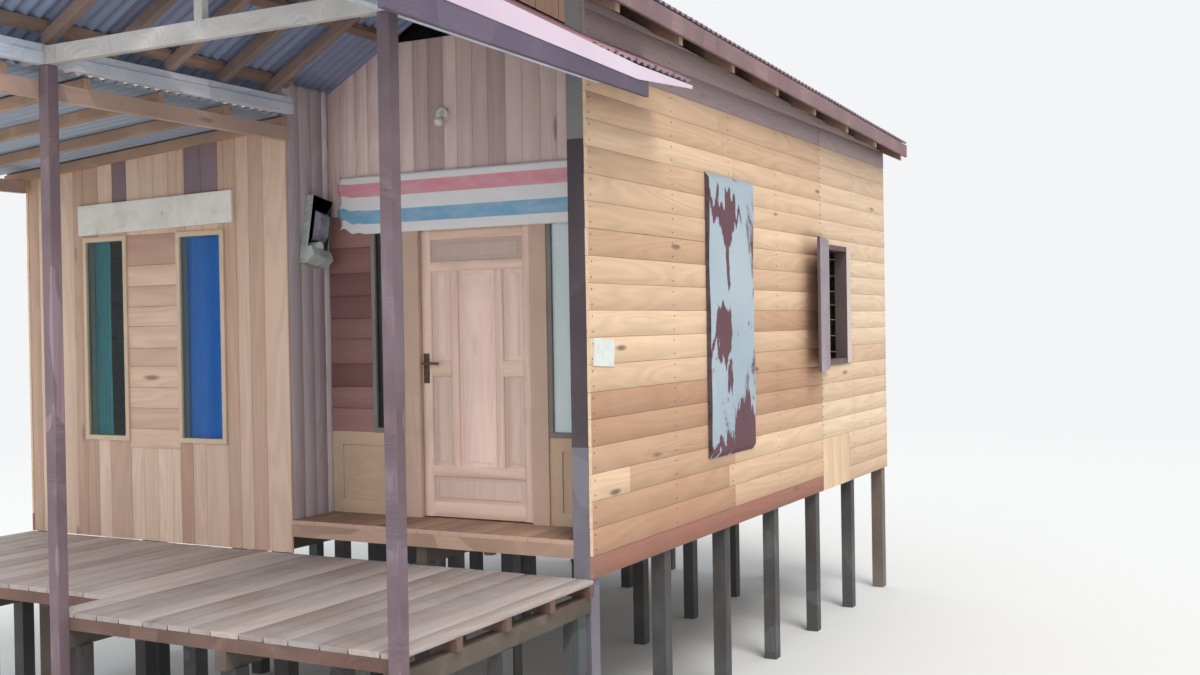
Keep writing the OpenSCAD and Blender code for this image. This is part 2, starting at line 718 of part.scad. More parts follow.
// Purlins of the porch roof, as battens under the sheets, and its ridge board.
porch_purlin_w = 50;
porch_purlin_x = [30, 510];
module porch_purlin(x, y1) translate([0, y1, 0]) rotate([90, 0, 0]) linear_extrude(y1 - y_min)
    let (x2 = x + porch_purlin_w)
    polygon([[x, porch_lower(x) + fit_gap], [x2, porch_lower(x2) + fit_gap],
             [x2, porch_sheet_z(x2)], [x, porch_sheet_z(x)]]);
module porch_purlins() {
    porch_purlin(porch_mid - beam_out, 0);
    for (x = porch_purlin_x) {
        porch_purlin(porch_mid - x - porch_purlin_w, bay_d);
        porch_purlin(porch_mid + x, bay_d);
    }
    porch_purlin(porch_tail_x - porch_purlin_w, tail_l);
    block([porch_mid - ridge_half, y_min, porch_ridge_z],
          [porch_mid + ridge_half, bay_d, porch_lower(porch_mid + ridge_half)]);
}

// A corrugated sheet: its waves run along y, and it is drawn along x from 0 to l.
function wave_line(n, up) = [for (i = [0:n - 1], p = [[0, 0], [0.25, 0], [0.5, 1], [0.75, 1]])
    [(i + p[0]) * wave_pitch, p[1] * wave_d + up]];
module waves(n) polygon(concat(wave_line(n, 0), [[n * wave_pitch, 0], [n * wave_pitch, sheet_t]],
    [for (i = [len(wave_line(n, 0)) - 1:-1:0]) wave_line(n, sheet_t)[i]]));
module sheet(l, w) {
    n = floor(w / wave_pitch);
    translate([0, (w - n * wave_pitch) / 2, 0]) rotate([90, 0, 90]) linear_extrude(l) waves(n);
}
porch_angle = atan(porch_rise);
ridge_slot = 4;
sheet_lap = 160;
strip_t = 4;
module porch_sheet(side, run, y0, w) translate([porch_mid, y0, porch_sheet_z(porch_mid) + fit_gap])
    mirror([side, 0, 0]) rotate([0, porch_angle, 0]) translate([ridge_slot, 0, 0])
    sheet((run - wave_t * sin(porch_angle)) / cos(porch_angle) - ridge_slot, w);
tail_l = 700;
module porch_roof_sheets() placed() color("#6f8398") {
    difference() {
        porch_sheet(0, x_max - strip_t - fit_gap - porch_mid, y_min, tail_l - y_min);
        front_post_body();
        block([-board_t - fit_gap, -fit_gap, 0], [fit_gap, far, far]);
        block([-far, bay_d - fit_gap, 0], [0, far, far]);
    }
    porch_sheet(1, porch_mid - bay_x - fit_gap, past, bay_d - 2 * past);
    porch_sheet(1, beam_out + sheet_lap, y_min, -y_min - past);
}
module cap_sheet(x, z0, rise, y0, l, half) translate([x, y0 + l, z0]) rotate([90, 0, 0]) linear_extrude(l)
    polygon([[-half, -half * rise], [0, 0], [half, -half * rise],
             [half, sheet_t - half * rise], [0, sheet_t], [-half, sheet_t - half * rise]]);
// Strip on the outer face of the porch eave: it covers the ends of the waves at the front, and tapers
// to a tip along the right wall.
strip_x = x_max - strip_t;
strip_z = porch_sheet_z(strip_x);
strip_rise = 90;
strip_front = 28;
strip_mid = 78;
strip_tip = 22;
strip_drop = 3;
module porch_strip() translate([strip_x, 0, 0]) rotate([90, 0, 90]) linear_extrude(strip_t)
    polygon([[y_min, strip_z - strip_front], [0, strip_z - strip_mid], [tail_l, strip_z - strip_tip],
             [tail_l, strip_z - strip_drop], [0, strip_z - strip_drop], [y_min, strip_z + strip_rise]]);

// Lean-to roof over the left deck.
lean_beam_h = 85;
lean_beam_top = 2585;
lean_x0 = porch_mid - beam_out;
lean_beam_t = 45;
lean_rafter_d = 60;
lean_seat = 5;
function lean_under(x) = lean_beam_top - lean_seat + lean_fall * (x - lean_x0);
lean_front = 2000;
outer_x = left_x - post_s / 2;
outer_beam_top = lean_under(outer_x + lean_beam_t) + lean_seat;
module lean_beams_body() {
    block([lean_x0 - lean_beam_t, -lean_front, lean_beam_top - lean_beam_h], [lean_x0, 0, lean_beam_top]);
    block([outer_x, -lean_front, outer_beam_top - lean_beam_h], [outer_x + lean_beam_t, 0, outer_beam_top]);
}
module lean_to_beams() placed() color("#b09078") lean_beams_body();
lean_out = 160;
lean_end = left_x - lean_out;
lean_start = lean_x0 - past;
lean_rafter_w = 40;
lean_rafters_n = 5;
lean_rafter_in = 5;
lean_rafter_step = (lean_front - lean_rafter_w - 4 * lean_rafter_in) / (lean_rafters_n - 1);
module lean_to_rafters() placed() color("#a98c78") difference() {
    for (k = [0:lean_rafters_n - 1]) translate([0, -lean_rafter_in - k * lean_rafter_step, 0])
        rotate([90, 0, 0]) linear_extrude(lean_rafter_w)
            polygon([[lean_end, lean_under(lean_end)], [lean_start, lean_under(lean_start)],
                     [lean_start, lean_under(lean_start) + lean_rafter_d],
                     [lean_end, lean_under(lean_end) + lean_rafter_d]]);
    lean_beams_body();
}
lean_angle = atan(lean_fall);
lean_slot = 5;
module lean_to_sheet() placed() color("#7d8a92")
    translate([lean_start, -lean_front, lean_under(lean_start) + lean_rafter_d])
    mirror([1, 0, 0]) rotate([0, lean_angle, 0]) translate([lean_slot, 0, 0])
    sheet((lean_x0 - lean_end) / cos(lean_angle), lean_front - 2 * past);

// Main roof, drawn in the roof frame.
roof_angle = atan(roof_rise);
slope_k = sqrt(1 + roof_rise * roof_rise);
rafter_seat = 12;
function rafter_under(x) = -rafter_seat + roof_rise * (house_w / 2 - abs(x - mid_x));
function rafter_top(x) = rafter_under(x) + rafter_d * slope_k;
function sheet_under(x) = rafter_top(x) + purlin_d * slope_k;
tail_x = eave_out - eave_board_t;
rafter_count = 8;
rafter_w = 50;
module main_rafter(y) difference() {
    for (s = [0, 1]) translate([mid_x, 0, 0]) mirror([s, 0, 0]) translate([-mid_x, 0, 0])
        translate([0, y + rafter_w, 0]) rotate([90, 0, 0]) linear_extrude(rafter_w)
            polygon([[mid_x + ridge_half, rafter_under(mid_x + ridge_half)], [tail_x, rafter_under(tail_x)],
                     [tail_x, rafter_top(tail_x)], [mid_x + ridge_half, rafter_top(mid_x + ridge_half)]]);
    block([-in_x - stud_d, -far, -far], [0, far, 0]);
    block([left_x, -far, -far], [left_x + in_x + stud_d, far, 0]);
}
main_y0 = -front_out;
main_l = house_l + rear_out - main_y0;
rafter_step = (house_l - 2 * board_t - rafter_w) / (rafter_count - 1);
module main_rafters() placed() color("#a3785c") on_plates() {
    for (k = [0:rafter_count - 1]) main_rafter(board_t + k * rafter_step);
}
purlin_w = 50;
purlin_first = 560;
purlin_step = 600;
purlin_in = 10;
module main_purlin(x) translate([0, main_y0 + main_l, 0]) rotate([90, 0, 0]) linear_extrude(main_l)
    let (x0 = x - purlin_w)
    polygon([[x0, rafter_top(x0)], [x, rafter_top(x)], [x, sheet_under(x)], [x0, sheet_under(x0)]]);
module main_purlins() on_plates() {
    for (s = [0, 1]) translate([mid_x, 0, 0]) mirror([s, 0, 0]) translate([-mid_x, 0, 0]) {
        main_purlin(tail_x - purlin_in);
        for (k = [0:2]) main_purlin(-purlin_first - k * purlin_step);
        main_purlin(mid_x + purlin_w + purlin_in);
    }
    block([mid_x - ridge_half, main_y0, rafter_under(mid_x + ridge_half)],
          [mid_x + ridge_half, main_y0 + main_l, rafter_top(mid_x + ridge_half)]);
}
module roof_purlins() placed() color("#8d6a54") {
    main_purlins();
    porch_purlins();
}
module main_sheet(side) on_plates() translate([mid_x, main_y0, sheet_under(mid_x) + fit_gap])
    mirror([side, 0, 0]) rotate([0, roof_angle, 0]) translate([ridge_slot, 0, 0])
    sheet((house_w / 2 + eave_out - wave_t * sin(roof_angle)) / cos(roof_angle) - ridge_slot, main_l);
module main_roof_sheets() placed() color("#7d5058") {
    main_sheet(0);
    main_sheet(1);
}

main_cap_z = sheet_under(mid_x) + wave_t * slope_k + 2 * fit_gap;
cap_half = 170;
porch_cap_half = 130;
module roof_flashings() placed() color("#b08388") {
    on_plates() cap_sheet(mid_x, main_cap_z, roof_rise, main_y0, main_l, cap_half);
    cap_sheet(porch_mid, porch_top(porch_mid) + 2 * fit_gap, porch_rise,
              y_min, bay_d - 2 * past - y_min, porch_cap_half);
    porch_strip();
}
eave_board_h = 110;
eave_board_in = 4;
eave_drop = 2;
porch_board_h = 150;
porch_board_l = 135;
module eave_boards() placed() color("#8a5348") {
    on_plates() for (s = [0, 1]) translate([mid_x, 0, 0]) mirror([s, 0, 0]) translate([-mid_x, 0, 0])
        block([tail_x, main_y0, sheet_under(eave_out) - eave_board_h - eave_drop],
              [eave_out - eave_board_in, main_y0 + main_l, sheet_under(eave_out) - eave_drop]);
    block([porch_tail_x, y_min, strip_z - porch_board_h], [strip_x, porch_board_l, strip_z - eave_drop]);
}

// Boards that close the two gables.
module gable(y) translate([0, y + board_t, 0]) rotate([90, 0, 0]) linear_extrude(board_t)
    polygon([[left_x, 0], [0, 0], [0, rafter_top(0) - fit_gap],
             [mid_x, rafter_top(mid_x) - fit_gap], [left_x, rafter_top(0) - fit_gap]]);
// The front one comes down to the porch roof over the bay.
over_sheet = 5;
over_cap = 12;
gable_lap = 100;
module porch_outline() translate([0, far, 0]) rotate([90, 0, 0]) linear_extrude(2 * far)
    polygon([[bay_x, 0], [x_max, 0], [x_max, porch_top(x_max) + over_sheet],
             [porch_mid + porch_cap_half, porch_top(porch_mid + porch_cap_half) + over_cap],
             [porch_mid, porch_top(porch_mid) + over_cap],
             [porch_mid - porch_cap_half, porch_top(porch_mid - porch_cap_half) + over_cap],
             [bay_x, porch_top(bay_x) + over_sheet]]);
module gables() placed() color("#b98f74") {
    difference() {
        union() {
            on_plates() gable(0);
            block([bay_x, 0, porch_top(bay_x)], [-board_t, board_t, wall_h + gable_lap]);
        }
        porch_outline();
        front_post_body();
        block([-far, -far, wall_h], [far, 0, wall_h + 2 * gable_lap]);
        on_plates() block([mid_x - ridge_half, -far, 0], [mid_x + ridge_half, far, far]);
    }
    on_plates() difference() {
        gable(house_l - board_t);
        block([mid_x - ridge_half, -far, -far], [mid_x + ridge_half, far, far]);
    }
}

// Decks in front of the house.
deck_front = -post_y;
deck_split = 20;
split_x = bay_x - deck_split;
module deck_boards() placed() color("#8b7a70") {
    block([split_x, deck_front, -deck_t], [0, 0, 0]);
    block([left_x, -left_deck_d, -deck_t], [split_x, 0, 0]);
}
deck_joists_n = 5;
left_joists_n = 4;
deck_joist_z = -deck_t - deck_joist_h;
module deck_joists() placed() color("#6a5f58") {
    for (k = [0:deck_joists_n - 1]) let (y = deck_front + k * (post_y - joist_w) / (deck_joists_n - 1))
        block([split_x, y, deck_joist_z], [0, y + joist_w, -deck_t]);
    for (k = [0:left_joists_n - 1]) let (y = -left_deck_d + k * (left_deck_d - joist_w) / (left_joists_n - 1))
        block([left_x, y, deck_joist_z], [split_x - past, y + joist_w, -deck_t]);
}
left_beam_in = 10;
porch_beam_x = [-stilt_s, bay_x / 2, bay_x + deck_split];
left_beam_x = [(left_x + bay_x) / 2, left_x + left_beam_in];
deck_beam_z = deck_joist_z - deck_beam_h;

// The outline's far corners, and the move that centres the model on its origin.
x_min = -house_w - max(eave_out, shutter_reach);
y_max = (house_l + rear_out) * cos(roof_fall) + (main_cap_z + sheet_t) * sin(roof_fall);
module placed() translate([-(x_min + x_max) / 2, -(y_min + y_max) / 2, deck_z]) children();

stilts();
bearers();
floor_joists();
floor_boards();
corner_posts();
front_corner_post();
right_wall();
left_wall();
rear_wall();
front_wall_left();
return_wall();
door_wall_sides();
door_wall_head();
low_panels();
wall_studs();
wall_plates();
door_frame();
front_door();
door_hardware();
door_hinges();
window_frames();
window_panes();
window_curtains();
header_board();
side_shutters();
zinc_panel();
door_pelmet();
meter_box();
porch_lamp();
porch_posts();
porch_beams();
porch_tie_beam();
porch_rafters();
roof_purlins();
porch_roof_sheets();
lean_to_beams();
lean_to_rafters();
lean_to_sheet();
gables();
main_rafters();
main_roof_sheets();
roof_flashings();
eave_boards();
deck_boards();
deck_joists();
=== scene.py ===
import math
import random

import bmesh
import bpy
from mathutils import Matrix, Vector


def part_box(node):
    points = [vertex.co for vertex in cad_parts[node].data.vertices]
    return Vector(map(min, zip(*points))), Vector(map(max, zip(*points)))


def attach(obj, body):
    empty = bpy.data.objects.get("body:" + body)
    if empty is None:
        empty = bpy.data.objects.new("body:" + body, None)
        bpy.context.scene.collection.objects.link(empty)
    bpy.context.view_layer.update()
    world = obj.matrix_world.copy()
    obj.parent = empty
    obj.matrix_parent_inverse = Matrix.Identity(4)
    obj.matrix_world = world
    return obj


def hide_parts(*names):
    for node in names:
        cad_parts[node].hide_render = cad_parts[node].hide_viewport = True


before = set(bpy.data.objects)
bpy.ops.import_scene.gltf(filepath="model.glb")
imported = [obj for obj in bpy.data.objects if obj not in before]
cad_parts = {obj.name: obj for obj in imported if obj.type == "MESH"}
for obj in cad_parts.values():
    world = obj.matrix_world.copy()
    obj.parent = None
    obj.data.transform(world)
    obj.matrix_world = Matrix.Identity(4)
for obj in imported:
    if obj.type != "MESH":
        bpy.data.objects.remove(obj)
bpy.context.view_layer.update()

# The view: a camera at standing height off the front right corner, which looks along the side wall
# and into the porch. Places below are in metres from the deck's top at the front right corner.
corner = Vector((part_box("right_wall")[1].x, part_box("right_wall")[0].y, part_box("deck_boards")[1].z))


def new_piece(name, data):
    """A new object in the scene. A piece's place is in its mesh."""
    obj = bpy.data.objects.new(name, data)
    bpy.context.scene.collection.objects.link(obj)
    return obj


yaw, pitch, roll = (math.radians(a) for a in (27.90, -0.60, -0.95))
ahead = Vector((-math.sin(yaw) * math.cos(pitch), math.cos(yaw) * math.cos(pitch), math.sin(pitch)))
level = Vector((math.cos(yaw), math.sin(yaw), 0))
upright = level.cross(ahead)
right = math.cos(roll) * level + math.sin(roll) * upright
top = math.cos(roll) * upright - math.sin(roll) * level
camera = new_piece("view_camera", bpy.data.cameras.new("view_camera"))
camera.data.sensor_width = 36
camera.data.lens = 38.91
camera.matrix_world = Matrix((right, top, -ahead)).transposed().to_4x4()
camera.location = corner + Vector((3.272, -6.066, 1.360))
bpy.context.scene.camera = camera
bpy.context.scene.view_settings.view_transform = "Standard"

# Light: an overcast sky, a soft high sun from the front right and a weak fill from the front, which
# reaches under the porch. The backdrop is white to the camera and to mirrors, and the ground is a
# pale plane that fades into it.


def srgb(code):
    """A colour as it is read off a paint card, such as C79F7B, in the renderer's terms."""
    parts = [int(code[i:i + 2], 16) / 255 for i in (0, 2, 4)]
    return tuple(p / 12.92 if p <= 0.04045 else ((p + 0.055) / 1.055) ** 2.4 for p in parts) + (1,)


def put(tree, kind, sockets=None, **settings):
    """Adds a node; a socket given as a value is joined to it, and anything else is its setting."""
    node = tree.nodes.new(kind)
    for key, value in settings.items():
        setattr(node, key, value)
    for key, value in (sockets or {}).items():
        if isinstance(value, bpy.types.NodeSocket):
            tree.links.new(value, node.inputs[key])
        else:
            node.inputs[key].default_value = value
    return node


def add(tree, kind, sockets=None, **settings):
    """Adds a node and gives its first output."""
    return put(tree, kind, sockets, **settings).outputs[0]


def maths(tree, operation, *values):
    """The result of one sum."""
    return add(tree, "ShaderNodeMath", dict(enumerate(values)), operation=operation)


def vectors(tree, operation, *values, **sockets):
    """The result of one sum of vectors."""
    node = put(tree, "ShaderNodeVectorMath", {**dict(enumerate(values)), **sockets}, operation=operation)
    return node.outputs["Value" if operation == "LENGTH" else "Vector"]


def remap(tree, value, low=0, high=1, start=0, end=1):
    """A value moved from one span to another."""
    return add(tree, "ShaderNodeMapRange", {"Value": value, "From Min": low, "From Max": high,
                                            "To Min": start, "To Max": end})


backdrop = srgb("F4F5F6")
world = bpy.data.worlds.new("overcast_sky")
bpy.context.scene.world = world
world.use_nodes = True
sky = world.node_tree
sky.nodes.clear()
path = put(sky, "ShaderNodeLightPath").outputs
seen = maths(sky, "MAXIMUM", path["Is Camera Ray"], path["Is Glossy Ray"])
seen = maths(sky, "MAXIMUM", seen, path["Is Transmission Ray"])
lit = add(sky, "ShaderNodeBackground", {"Color": (0.88, 0.94, 1, 1), "Strength": 0.88})
plain = add(sky, "ShaderNodeBackground", {"Color": backdrop, "Strength": 1.0})
put(sky, "ShaderNodeOutputWorld", {"Surface": add(sky, "ShaderNodeMixShader", {0: seen, 1: lit, 2: plain})})

for name, energy, spread, tint, towards in (
    ("soft_sun", 1.8, 25, (1, 0.97, 0.93), (-0.46, 0.38, -0.80)),
    ("front_fill", 1.05, 90, (0.84, 0.92, 1), (-0.12, 0.96, -0.1)),
):
    sun = new_piece(name, bpy.data.lights.new(name, "SUN"))
    sun.data.energy = energy
    sun.data.angle = math.radians(spread)
    sun.data.color = tint
    sun.rotation_euler = Vector(towards).to_track_quat("-Z", "Y").to_euler()


def new_mesh(name, points, faces=(), finishes=()):
    """A mesh of points and faces, with its finishes."""
    mesh = bpy.data.meshes.new(name)
    mesh.from_pydata(points, [], faces)
    for finish in finishes:
        mesh.materials.append(finish)
    return mesh


def new_finish(name, on_cloth=False):
    """An empty material, its tree, and what its patterns follow: places on the object or on cloth."""
    material = bpy.data.materials.new(name)
    material.use_nodes = True
    tree = material.node_tree
    tree.nodes.clear()
    if on_cloth:
        return material, tree, add(tree, "ShaderNodeUVMap", uv_map="cloth")
    return material, tree, put(tree, "ShaderNodeTexCoord").outputs["Object"]


ground_reach = 60
paving, tree, where = new_finish("pale_floor")
fade = remap(tree, vectors(tree, "LENGTH", where), 7, 22)
far_off = maths(tree, "MULTIPLY", fade, put(tree, "ShaderNodeLightPath").outputs["Is Camera Ray"])
matt = add(tree, "ShaderNodeBsdfPrincipled", {"Base Color": srgb("DFDEDB"), "Roughness": 0.9})
glow = add(tree, "ShaderNodeEmission", {"Color": backdrop})
both = add(tree, "ShaderNodeMixShader", {0: far_off, 1: matt, 2: glow})
put(tree, "ShaderNodeOutputMaterial", {"Surface": both})
ground_corners = [(x * ground_reach, y * ground_reach, 0) for x, y in ((-1, -1), (1, -1), (1, 1), (-1, 1))]
new_piece("pale_floor", new_mesh("pale_floor", ground_corners, [(0, 1, 2, 3)], [paving]))

# Stilts, bearers and joists: weathered hardwood, sawn square, the stilts driven into the ground and
# the bearers laid on their heads. The grain is a group that all the timber of the house shares: its
# figure runs along x, each board has its own tone, and damp greys it in patches.


def new_group(name, kind, inputs, outputs):
    """A tree with named sockets, each given as its name and its kind, and what comes in by them."""
    tree = bpy.data.node_groups.new(name, kind)
    if kind == "GeometryNodeTree":
        tree.is_modifier = True
    for way, sockets in (("INPUT", inputs), ("OUTPUT", outputs)):
        for label, socket in sockets:
            tree.interface.new_socket(label, in_out=way, socket_type="NodeSocket" + socket)
    return tree, put(tree, "NodeGroupInput").outputs


def noise(tree, vector, scale, detail, result="Fac", **more):
    """Clouds of noise, as a value or as a colour."""
    sockets = {"Vector": vector, "Scale": scale, "Detail": detail, **more}
    return put(tree, "ShaderNodeTexNoise", sockets).outputs[result]


def mixed(tree, share, first, second, **settings):
    """A colour between two."""
    sockets = {0: share, 6: first, 7: second}
    return put(tree, "ShaderNodeMix", sockets, data_type="RGBA", **settings).outputs[2]


def surfaced(tree, sockets, bump=None):
    """Ends a finish with its surface. bump is its strength, its depth in metres and its height."""
    if bump:
        sockets["Normal"] = add(tree, "ShaderNodeBump", dict(zip(("Strength", "Distance", "Height"), bump)))
    put(tree, "ShaderNodeOutputMaterial", {"Surface": add(tree, "ShaderNodeBsdfPrincipled", sockets)})


grain, given = new_group("sawn_grain", "ShaderNodeTree", (
    ("Vector", "Vector"), ("Tone", "Float"), ("Light", "Color"), ("Dark", "Color"), ("Aged", "Color"),
    ("Figure", "Float"), ("Knots", "Float"), ("Ageing", "Float")),
    (("Color", "Color"), ("Roughness", "Float"), ("Height", "Float")))
apart = vectors(grain, "SCALE", (53.1, 17.7, 31.3), Scale=given["Tone"])
own = vectors(grain, "ADD", given["Vector"], apart)
swell = noise(grain, vectors(grain, "MULTIPLY", own, (0.55, 5.5, 5.5)), 1.0, 1.5, Distortion=0.5)
rings = remap(grain, maths(grain, "SINE", maths(grain, "MULTIPLY", swell, 55.0)), -1)
fibre = noise(grain, vectors(grain, "MULTIPLY", own, (3, 95, 95)), 1.0, 3, Roughness=0.6)
figure = add(grain, "ShaderNodeMix", {0: 0.55, 2: rings, 3: fibre})
spread = vectors(grain, "MULTIPLY", own, (1.6, 6.5, 6.5))
cells = put(grain, "ShaderNodeTexVoronoi", {"Vector": spread, "Scale": 1.0}).outputs
chosen = maths(grain, "GREATER_THAN", add(grain, "ShaderNodeSeparateColor", {0: cells["Color"]}), 0.72)
knot = maths(grain, "MULTIPLY", remap(grain, cells["Distance"], 0.06, 0.14, 1, 0), chosen)
knot = maths(grain, "MULTIPLY", knot, given["Knots"])
body = mixed(grain, given["Tone"], given["Light"], given["Dark"])
deeper = mixed(grain, maths(grain, "MULTIPLY", figure, given["Figure"]), body, (0.23, 0.13, 0.09, 1))
knotty = mixed(grain, knot, deeper, (0.06, 0.03, 0.02, 1))
damp = remap(grain, noise(grain, given["Vector"], 1.7, 5, Roughness=0.65), 0.42, 0.68)
aged = mixed(grain, maths(grain, "MULTIPLY", damp, given["Ageing"]), knotty, given["Aged"])
put(grain, "NodeGroupOutput", {"Color": aged, "Roughness": remap(grain, figure, 0, 1, 0.55, 0.85),
                               "Height": maths(grain, "SUBTRACT", figure, knot)})

grain_turn = {"X": (0, 0, 0), "Y": (0, 0, -math.pi / 2), "Z": (0, math.pi / 2, 0)}


def timber(name, along, light, dark, aged, figure=0.3, knots=0.5, ageing=0.3, relief=0.35, vary=0.0,
           zones=()):
    """Timber whose grain runs along one axis. vary gives pieces without a tone of their own one by
    place, and zones (axis, middle, reach, colour) are stretches of another colour."""
    material, tree, where = new_finish(name)
    turned = add(tree, "ShaderNodeMapping", {"Vector": where, "Rotation": grain_turn[along]})
    tone = put(tree, "ShaderNodeAttribute", attribute_name="tone").outputs["Fac"]
    if vary:
        tone = maths(tree, "ADD", tone, remap(tree, noise(tree, where, 2.2, 0), 0.3, 0.7, 0, vary))
    wood = put(tree, "ShaderNodeGroup", {
        "Vector": turned, "Tone": tone, "Light": srgb(light), "Dark": srgb(dark), "Aged": srgb(aged),
        "Figure": figure, "Knots": knots, "Ageing": ageing}, node_tree=grain).outputs
    colour = wood["Color"]
    for axis, middle, reach, other in zones:
        at = put(tree, "ShaderNodeSeparateXYZ", {0: where}).outputs[axis]
        inside = maths(tree, "COMPARE", at, middle + corner["XYZ".index(axis)], reach)
        colour = mixed(tree, maths(tree, "MULTIPLY", inside, 0.8), colour, srgb(other))
    surfaced(tree, {"Base Color": colour, "Roughness": wood["Roughness"], "Specular IOR Level": 0.25},
             (relief, 0.004, wood["Height"]))
    return material


def finish_node(node, material):
    """Gives a solid that keeps its own shape its finish."""
    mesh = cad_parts[node].data
    mesh.materials.clear()
    mesh.materials.append(material)


edge_strip = ("Y", 0.02, 0.035, "C9A48F")
for node, name, *looks in (
    ("stilts", "weathered_stilts", "Z", "5D6468", "3A3F42", "50585A", 0.5, 0.3, 0.8, 0.8, 0.8),
    ("bearers", "weathered_bearers", "Y", "6F665C", "4A433D", "5A5A52", 0.45, 0.3, 0.6, 0.7, 0.8),
    ("floor_joists", "weathered_joists", "X", "7A6C5E", "54493F", "5A5A52", 0.45, 0.3, 0.5, 0.7, 0.8,
     [edge_strip]),
    ("deck_joists", "deck_joists", "X", "87695E", "6B4F48", "6B625C", 0.45, 0.3, 0.5, 0.7, 0.8),
):
    finish_node(node, timber(name, *looks))

# Deck: sawn planks nailed across the joists with open gaps, each one worn to its own shade of grey
# brown. The planks of every layer of boards in the house are set out as spans, and one tree of
# nodes gives them their section with eased edges and a small lift.
laying, given = new_group("board_layer", "GeometryNodeTree", (
    ("Geometry", "Geometry"), ("Width", "Float"), ("Thickness", "Float"), ("Edge", "Float"),
    ("Turn", "Vector"), ("Finish", "Material")), [("Geometry", "Geometry")])
section = add(laying, "GeometryNodeCurvePrimitiveQuadrilateral",
              {"Width": given["Thickness"], "Height": given["Width"]})
eased = add(laying, "GeometryNodeFilletCurve", {"Curve": section, "Count": 1, "Radius": given["Edge"]},
            mode="POLY")
run = add(laying, "GeometryNodeCurvePrimitiveLine", {"Start": (0, 0, 0), "End": (1, 0, 0)})
run = add(laying, "GeometryNodeSetCurveNormal", {"Curve": run}, mode="Z_UP")
plank = add(laying, "GeometryNodeCurveToMesh", {"Curve": run, "Profile Curve": eased, "Fill Caps": True})
length, width, tone = (add(laying, "GeometryNodeInputNamedAttribute", {"Name": key}, data_type="FLOAT")
                       for key in ("length", "width", "tone"))
size = add(laying, "ShaderNodeCombineXYZ",
           {"X": length, "Y": 1.0, "Z": maths(laying, "DIVIDE", width, given["Width"])})
turned = add(laying, "FunctionNodeEulerToRotation", {0: given["Turn"]})
laid = add(laying, "GeometryNodeInstanceOnPoints",
           {"Points": given["Geometry"], "Instance": plank, "Rotation": turned, "Scale": size})
real = add(laying, "GeometryNodeRealizeInstances", {"Geometry": laid})
kept = add(laying, "GeometryNodeStoreNamedAttribute", {"Geometry": real, "Name": "tone", "Value": tone},
           data_type="FLOAT", domain="FACE")
done = add(laying, "GeometryNodeSetMaterial", {"Geometry": kept, "Material": given["Finish"]})
put(laying, "NodeGroupOutput", {"Geometry": done})

# The first letter is the way the boards run, the second the way they are laid side by side.
board_turn = {"XZ": (0, 0, 0), "YZ": (0, 0, 90), "ZX": (0, -90, 0), "ZY": (0, -90, 90),
              "YX": (90, 0, 90), "XY": (90, 0, 0)}


def settle(obj):
    """Turns what the modifiers make into the piece's own plain mesh."""
    depsgraph = bpy.context.evaluated_depsgraph_get()
    mesh = bpy.data.meshes.new_from_object(obj.evaluated_get(depsgraph), preserve_all_data_layers=True,
                                           depsgraph=depsgraph)
    obj.modifiers.clear()
    obj.data = mesh
    mesh.name = obj.name
    return obj


def grow(obj, tree, **sizes):
    """Runs a tree of geometry nodes on a piece, with its sizes set on its named sockets."""
    modifier = obj.modifiers.new("making", "NODES")
    modifier.node_group = tree
    for item in tree.interface.items_tree:
        if item.in_out == "INPUT" and item.name in sizes:
            modifier[item.identifier] = sizes[item.name]
    return settle(obj)


def board_layer(name, spans, lay, depth, thick, finish, seed, gap=0.0015, edge=0.002, proud=0.001,
                tones=(0, 1), shades=None):
    """Boards at their spans (from, to, low side, high side), at that depth across the layer. shades are
    their tones from light to dark, which are otherwise drawn between two."""
    chance = random.Random(seed)
    along, aside = ("XYZ".index(letter) for letter in lay)
    points = []
    for start, end, low, high in spans:
        place = [0, 0, 0]
        place[along] = start
        place[aside] = (low + high) / 2
        place[3 - along - aside] = depth + chance.uniform(-proud, proud)
        points.append(corner + Vector(place))
    widths = [high - low - gap for start, end, low, high in spans]
    mesh = new_mesh(name, points)
    for key, values in (("length", [end - start for start, end, low, high in spans]), ("width", widths),
                        ("tone", shades or [chance.uniform(*tones) for _ in spans])):
        mesh.attributes.new(key, "FLOAT", "POINT").data.foreach_set("value", values)
    return grow(new_piece(name, mesh), laying, Width=sum(widths) / len(widths), Thickness=thick,
                Edge=edge, Turn=[math.radians(a) for a in board_turn[lay]], Finish=finish)


def side_by_side(low, high, wide, seed, vary=0.15):
    """Low and high sides of boards of about one width, from one line to another."""
    chance = random.Random(seed)
    edges = [low]
    while edges[-1] < high - wide * 0.6:
        edges.append(edges[-1] + wide * chance.uniform(1 - vary, 1 + vary))
    edges[-1] = high
    return list(zip(edges, edges[1:]))


def clean_shape(node):
    """A solid's shape with its points merged and its flat faces whole."""
    shape = bmesh.new()
    shape.from_mesh(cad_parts[node].data)
    bmesh.ops.remove_doubles(shape, verts=shape.verts, dist=1e-5)
    bmesh.ops.dissolve_limit(shape, angle_limit=0.001, verts=shape.verts, edges=shape.edges)
    return shape


def shape_mesh(name, shape, *finishes):
    """The mesh of a shape, which is then given up."""
    mesh = new_mesh(name, [], [], finishes)
    shape.to_mesh(mesh)
    shape.free()
    return mesh


def carve(obj, shape, operation, use_self=False):
    """Cuts a piece with another shape."""
    cutter = new_piece("cutter", shape_mesh("cutter", shape))
    cut = obj.modifiers.new("cut", "BOOLEAN")
    cut.operation = operation
    cut.solver = "EXACT"
    cut.use_self = use_self
    cut.object = cutter
    settle(obj)
    bpy.data.objects.remove(cutter)


def stand_for(obj, nodes, slot, body="root"):
    """The piece rides on its body and stands for these solids; slot is not used."""
    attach(obj, body)
    if nodes:
        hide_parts(*nodes)


